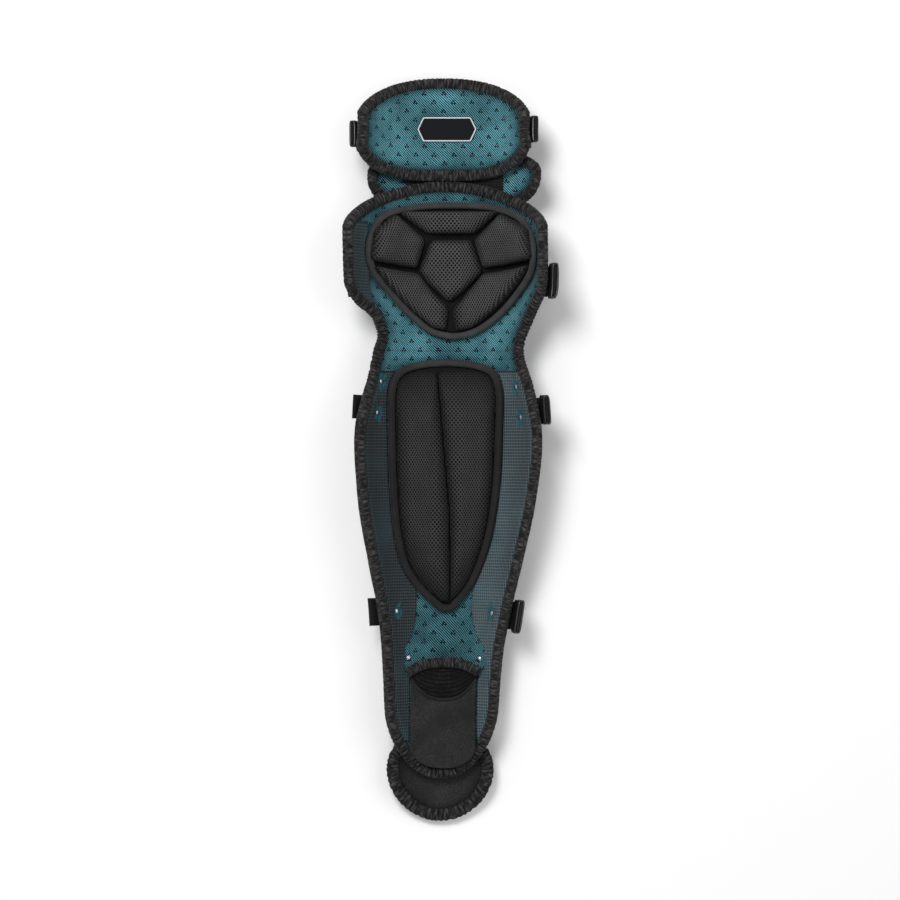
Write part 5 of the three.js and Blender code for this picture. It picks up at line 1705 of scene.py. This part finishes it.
def build_stitches():
    t = Shape("Stitches", (("Pitch", "NodeSocketFloat"), ("Stitch length", "NodeSocketFloat"),
                           ("Thread width", "NodeSocketFloat")))
    even = t.node("GeometryNodeResampleCurve", "LENGTH", Curve=t.given["Geometry"], Length=t.given["Pitch"])
    along = t.node("FunctionNodeAlignRotationToVector", Vector=t.node("GeometryNodeInputTangent").outputs[0])
    along.axis = "X"
    bead = t.node("GeometryNodeMeshUVSphere", Segments=8, Rings=5, Radius=0.5)
    size = t.joined(t.given["Stitch length"], t.given["Thread width"], t.given["Thread width"])
    t.ends(t.node("GeometryNodeInstanceOnPoints", Points=even.outputs[0], Instance=bead.outputs[0],
                  Rotation=along.outputs[0], Scale=size).outputs[0])
    curve = bpy.data.curves.new("stitch_paths", "CURVE")
    curve.dimensions = "3D"
    for points in stitch_lines():
        spline = curve.splines.new("POLY")
        spline.points.add(len(points) - 1)
        spline.points.foreach_set("co", np.hstack([points, np.ones((len(points), 1))]).ravel())
        spline.use_cyclic_u = True
    obj = linked("stitch_paths", curve)
    values = {"Pitch": look().stitch_pitch, "Stitch length": look().stitch_length,
              "Thread width": look().stitch_width, "Finish": finish("thread")}
    made = t.run(obj, "pad_stitches", values)
    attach(made, "root")


# Stage

def build_stage():
    scene = bpy.context.scene
    scene.view_settings.view_transform = "Standard"
    data = bpy.data.meshes.new("floor")
    corners = [(x * FLOOR_HALF, y * FLOOR_HALF, 0) for x, y in ((-1, -1), (1, -1), (1, 1), (-1, 1))]
    data.from_pydata(corners, [], [(0, 1, 2, 3)])
    data.materials.append(finish("floor"))
    floor = linked("floor", data)
    floor.location.z = -0.0002  # just under the guard
    world = bpy.data.worlds.new("studio")
    world.use_nodes = True
    world.node_tree.nodes["Background"].inputs["Color"].default_value = (1, 1, 1, 1)
    world.node_tree.nodes["Background"].inputs["Strength"].default_value = 0.42
    scene.world = world
    lights = (      # name, place, size and power
        ("key", (-0.5, 0.9, 1.9), 0.7, 34.0),
        ("fill", (1.3, 0.3, 1.6), 1.6, 9.0),
        ("low", (-0.4, -1.5, 1.4), 1.2, 9.0),
    )
    for name, spot, size, power in lights:
        light = bpy.data.lights.new(name, "AREA")
        light.size = size
        light.energy = power
        lamp = linked(name, light)
        lamp.location = spot
        lamp.rotation_euler = (Vector((0, 0, 0.03)) - Vector(spot)).to_track_quat("-Z", "Y").to_euler()
    camera = bpy.data.cameras.new("camera")
    camera.sensor_width = SENSOR
    camera.lens = SENSOR * look().camera_height / look().view_width
    camera.clip_end = 20
    eye = linked("camera", camera)
    eye.location = (-0.0003, -0.0004, look().camera_height + 0.03)
    scene.camera = eye


# Operators

class GUARD_OT_stage(bpy.types.Operator):
    """Floor, studio lights and the camera"""
    bl_idname = "guard.stage"
    bl_label = "Stage"

    def execute(self, context):
        build_stage()
        return {"FINISHED"}


class GUARD_OT_main_liner(bpy.types.Operator):
    """Padded teal lining from knee to ankle with its gathered binding"""
    bl_idname = "guard.main_liner"
    bl_label = "Main liner"

    def execute(self, context):
        build_main_liner()
        build_main_binding()
        return {"FINISHED"}


class GUARD_OT_thigh_guard(bpy.types.Operator):
    """Thigh guard: lining, binding, plate and patch"""
    bl_idname = "guard.thigh_guard"
    bl_label = "Thigh guard"

    def execute(self, context):
        s = sizes()
        outline = thigh_edge()[0]
        body = build_oval_part("thigh", outline, 0, s.liner_thick, s.binding_width,
                               s.binding_thick, 0.0034, "teal_lining", "teal_lining", 51, 0.2)
        build_oval_plate("thigh", body, 0.9, shell_low(), shell_high())
        build_label()
        return {"FINISHED"}


class GUARD_OT_flaps(bpy.types.Operator):
    """Knee flap and toe flap, and the link band above the knee"""
    bl_idname = "guard.flaps"
    bl_label = "Flaps"

    def execute(self, context):
        s = sizes()
        plate_high = flap_low() - s.layer_gap
        body = build_oval_part("flap", flap_edge(), flap_low(), flap_high(), s.binding_width,
                               s.flap_binding_thick, 0.0036, "teal_lining", "teal_lining", 61, 0.2)
        build_oval_plate("flap", body, 0.95, plate_high - s.flap_shell_thick, plate_high)
        body = build_oval_part("toe", toe_edge(), flap_low(), flap_high(), s.binding_width * 1.15,
                               s.flap_binding_thick, 0.0042, "smooth_cloth", "black_cloth", 71, 0.26)
        build_oval_plate("toe", body, 0.88, plate_high - s.flap_shell_thick, plate_high)
        build_link_band()
        return {"FINISHED"}


class GUARD_OT_plates(bpy.types.Operator):
    """Hard outer plates of knee and shin"""
    bl_idname = "guard.plates"
    bl_label = "Outer plates"

    def execute(self, context):
        build_main_plates()
        return {"FINISHED"}


class GUARD_OT_knee_pad(bpy.types.Operator):
    """Knee pad with its six mesh cushions"""
    bl_idname = "guard.knee_pad"
    bl_label = "Knee pad"

    def execute(self, context):
        build_knee_pad()
        return {"FINISHED"}


class GUARD_OT_shin_pad(bpy.types.Operator):
    """Shin pad with its two mesh cushions"""
    bl_idname = "guard.shin_pad"
    bl_label = "Shin pad"

    def execute(self, context):
        build_shin_pad()
        return {"FINISHED"}


class GUARD_OT_side_meshes(bpy.types.Operator):
    """Mesh strips beside the pads"""
    bl_idname = "guard.side_meshes"
    bl_label = "Mesh strips"

    def execute(self, context):
        build_side_meshes()
        return {"FINISHED"}


class GUARD_OT_ankle(bpy.types.Operator):
    """Arch tape, pocket, panel and piping at the ankle"""
    bl_idname = "guard.ankle"
    bl_label = "Ankle"

    def execute(self, context):
        build_ankle()
        return {"FINISHED"}


class GUARD_OT_straps(bpy.types.Operator):
    """Webbing straps and their moulded slides"""
    bl_idname = "guard.straps"
    bl_label = "Straps"

    def execute(self, context):
        build_straps()
        return {"FINISHED"}


class GUARD_OT_rivets(bpy.types.Operator):
    """Rivet heads on the lining"""
    bl_idname = "guard.rivets"
    bl_label = "Rivets"

    def execute(self, context):
        build_rivets()
        return {"FINISHED"}


class GUARD_OT_stitches(bpy.types.Operator):
    """Stitches on the tapes of the pads"""
    bl_idname = "guard.stitches"
    bl_label = "Stitches"

    def execute(self, context):
        build_stitches()
        return {"FINISHED"}


OPERATORS = (GUARD_OT_stage, GUARD_OT_main_liner, GUARD_OT_thigh_guard, GUARD_OT_flaps, GUARD_OT_plates,
             GUARD_OT_knee_pad, GUARD_OT_shin_pad, GUARD_OT_side_meshes, GUARD_OT_ankle, GUARD_OT_straps,
             GUARD_OT_rivets, GUARD_OT_stitches)


class GUARD_PT_panel(bpy.types.Panel):
    """Sizes, colours and build steps of the leg guard"""
    bl_label = "Leg guard"
    bl_idname = "GUARD_PT_panel"
    bl_space_type = "VIEW_3D"
    bl_region_type = "UI"
    bl_category = "Leg guard"

    def draw(self, context):
        for group in (context.scene.guard_sizes, context.scene.guard_look):
            box = self.layout.box()
            for key in group.__annotations__:
                box.prop(group, key)
        for operator in OPERATORS:
            self.layout.operator(operator.bl_idname)


CLASSES = (GuardSizes, GuardLook, *OPERATORS, GUARD_PT_panel)


def register():
    for cls in CLASSES:
        bpy.utils.register_class(cls)
    bpy.types.Scene.guard_sizes = PointerProperty(type=GuardSizes)
    bpy.types.Scene.guard_look = PointerProperty(type=GuardLook)


def unregister():
    del bpy.types.Scene.guard_look
    del bpy.types.Scene.guard_sizes
    for cls in reversed(CLASSES):
        bpy.utils.unregister_class(cls)


def main():
    """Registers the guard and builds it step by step."""
    register()
    for operator in OPERATORS:
        group, name = operator.bl_idname.split(".")
        getattr(getattr(bpy.ops, group), name)()


if __name__ == "__main__":
    main()
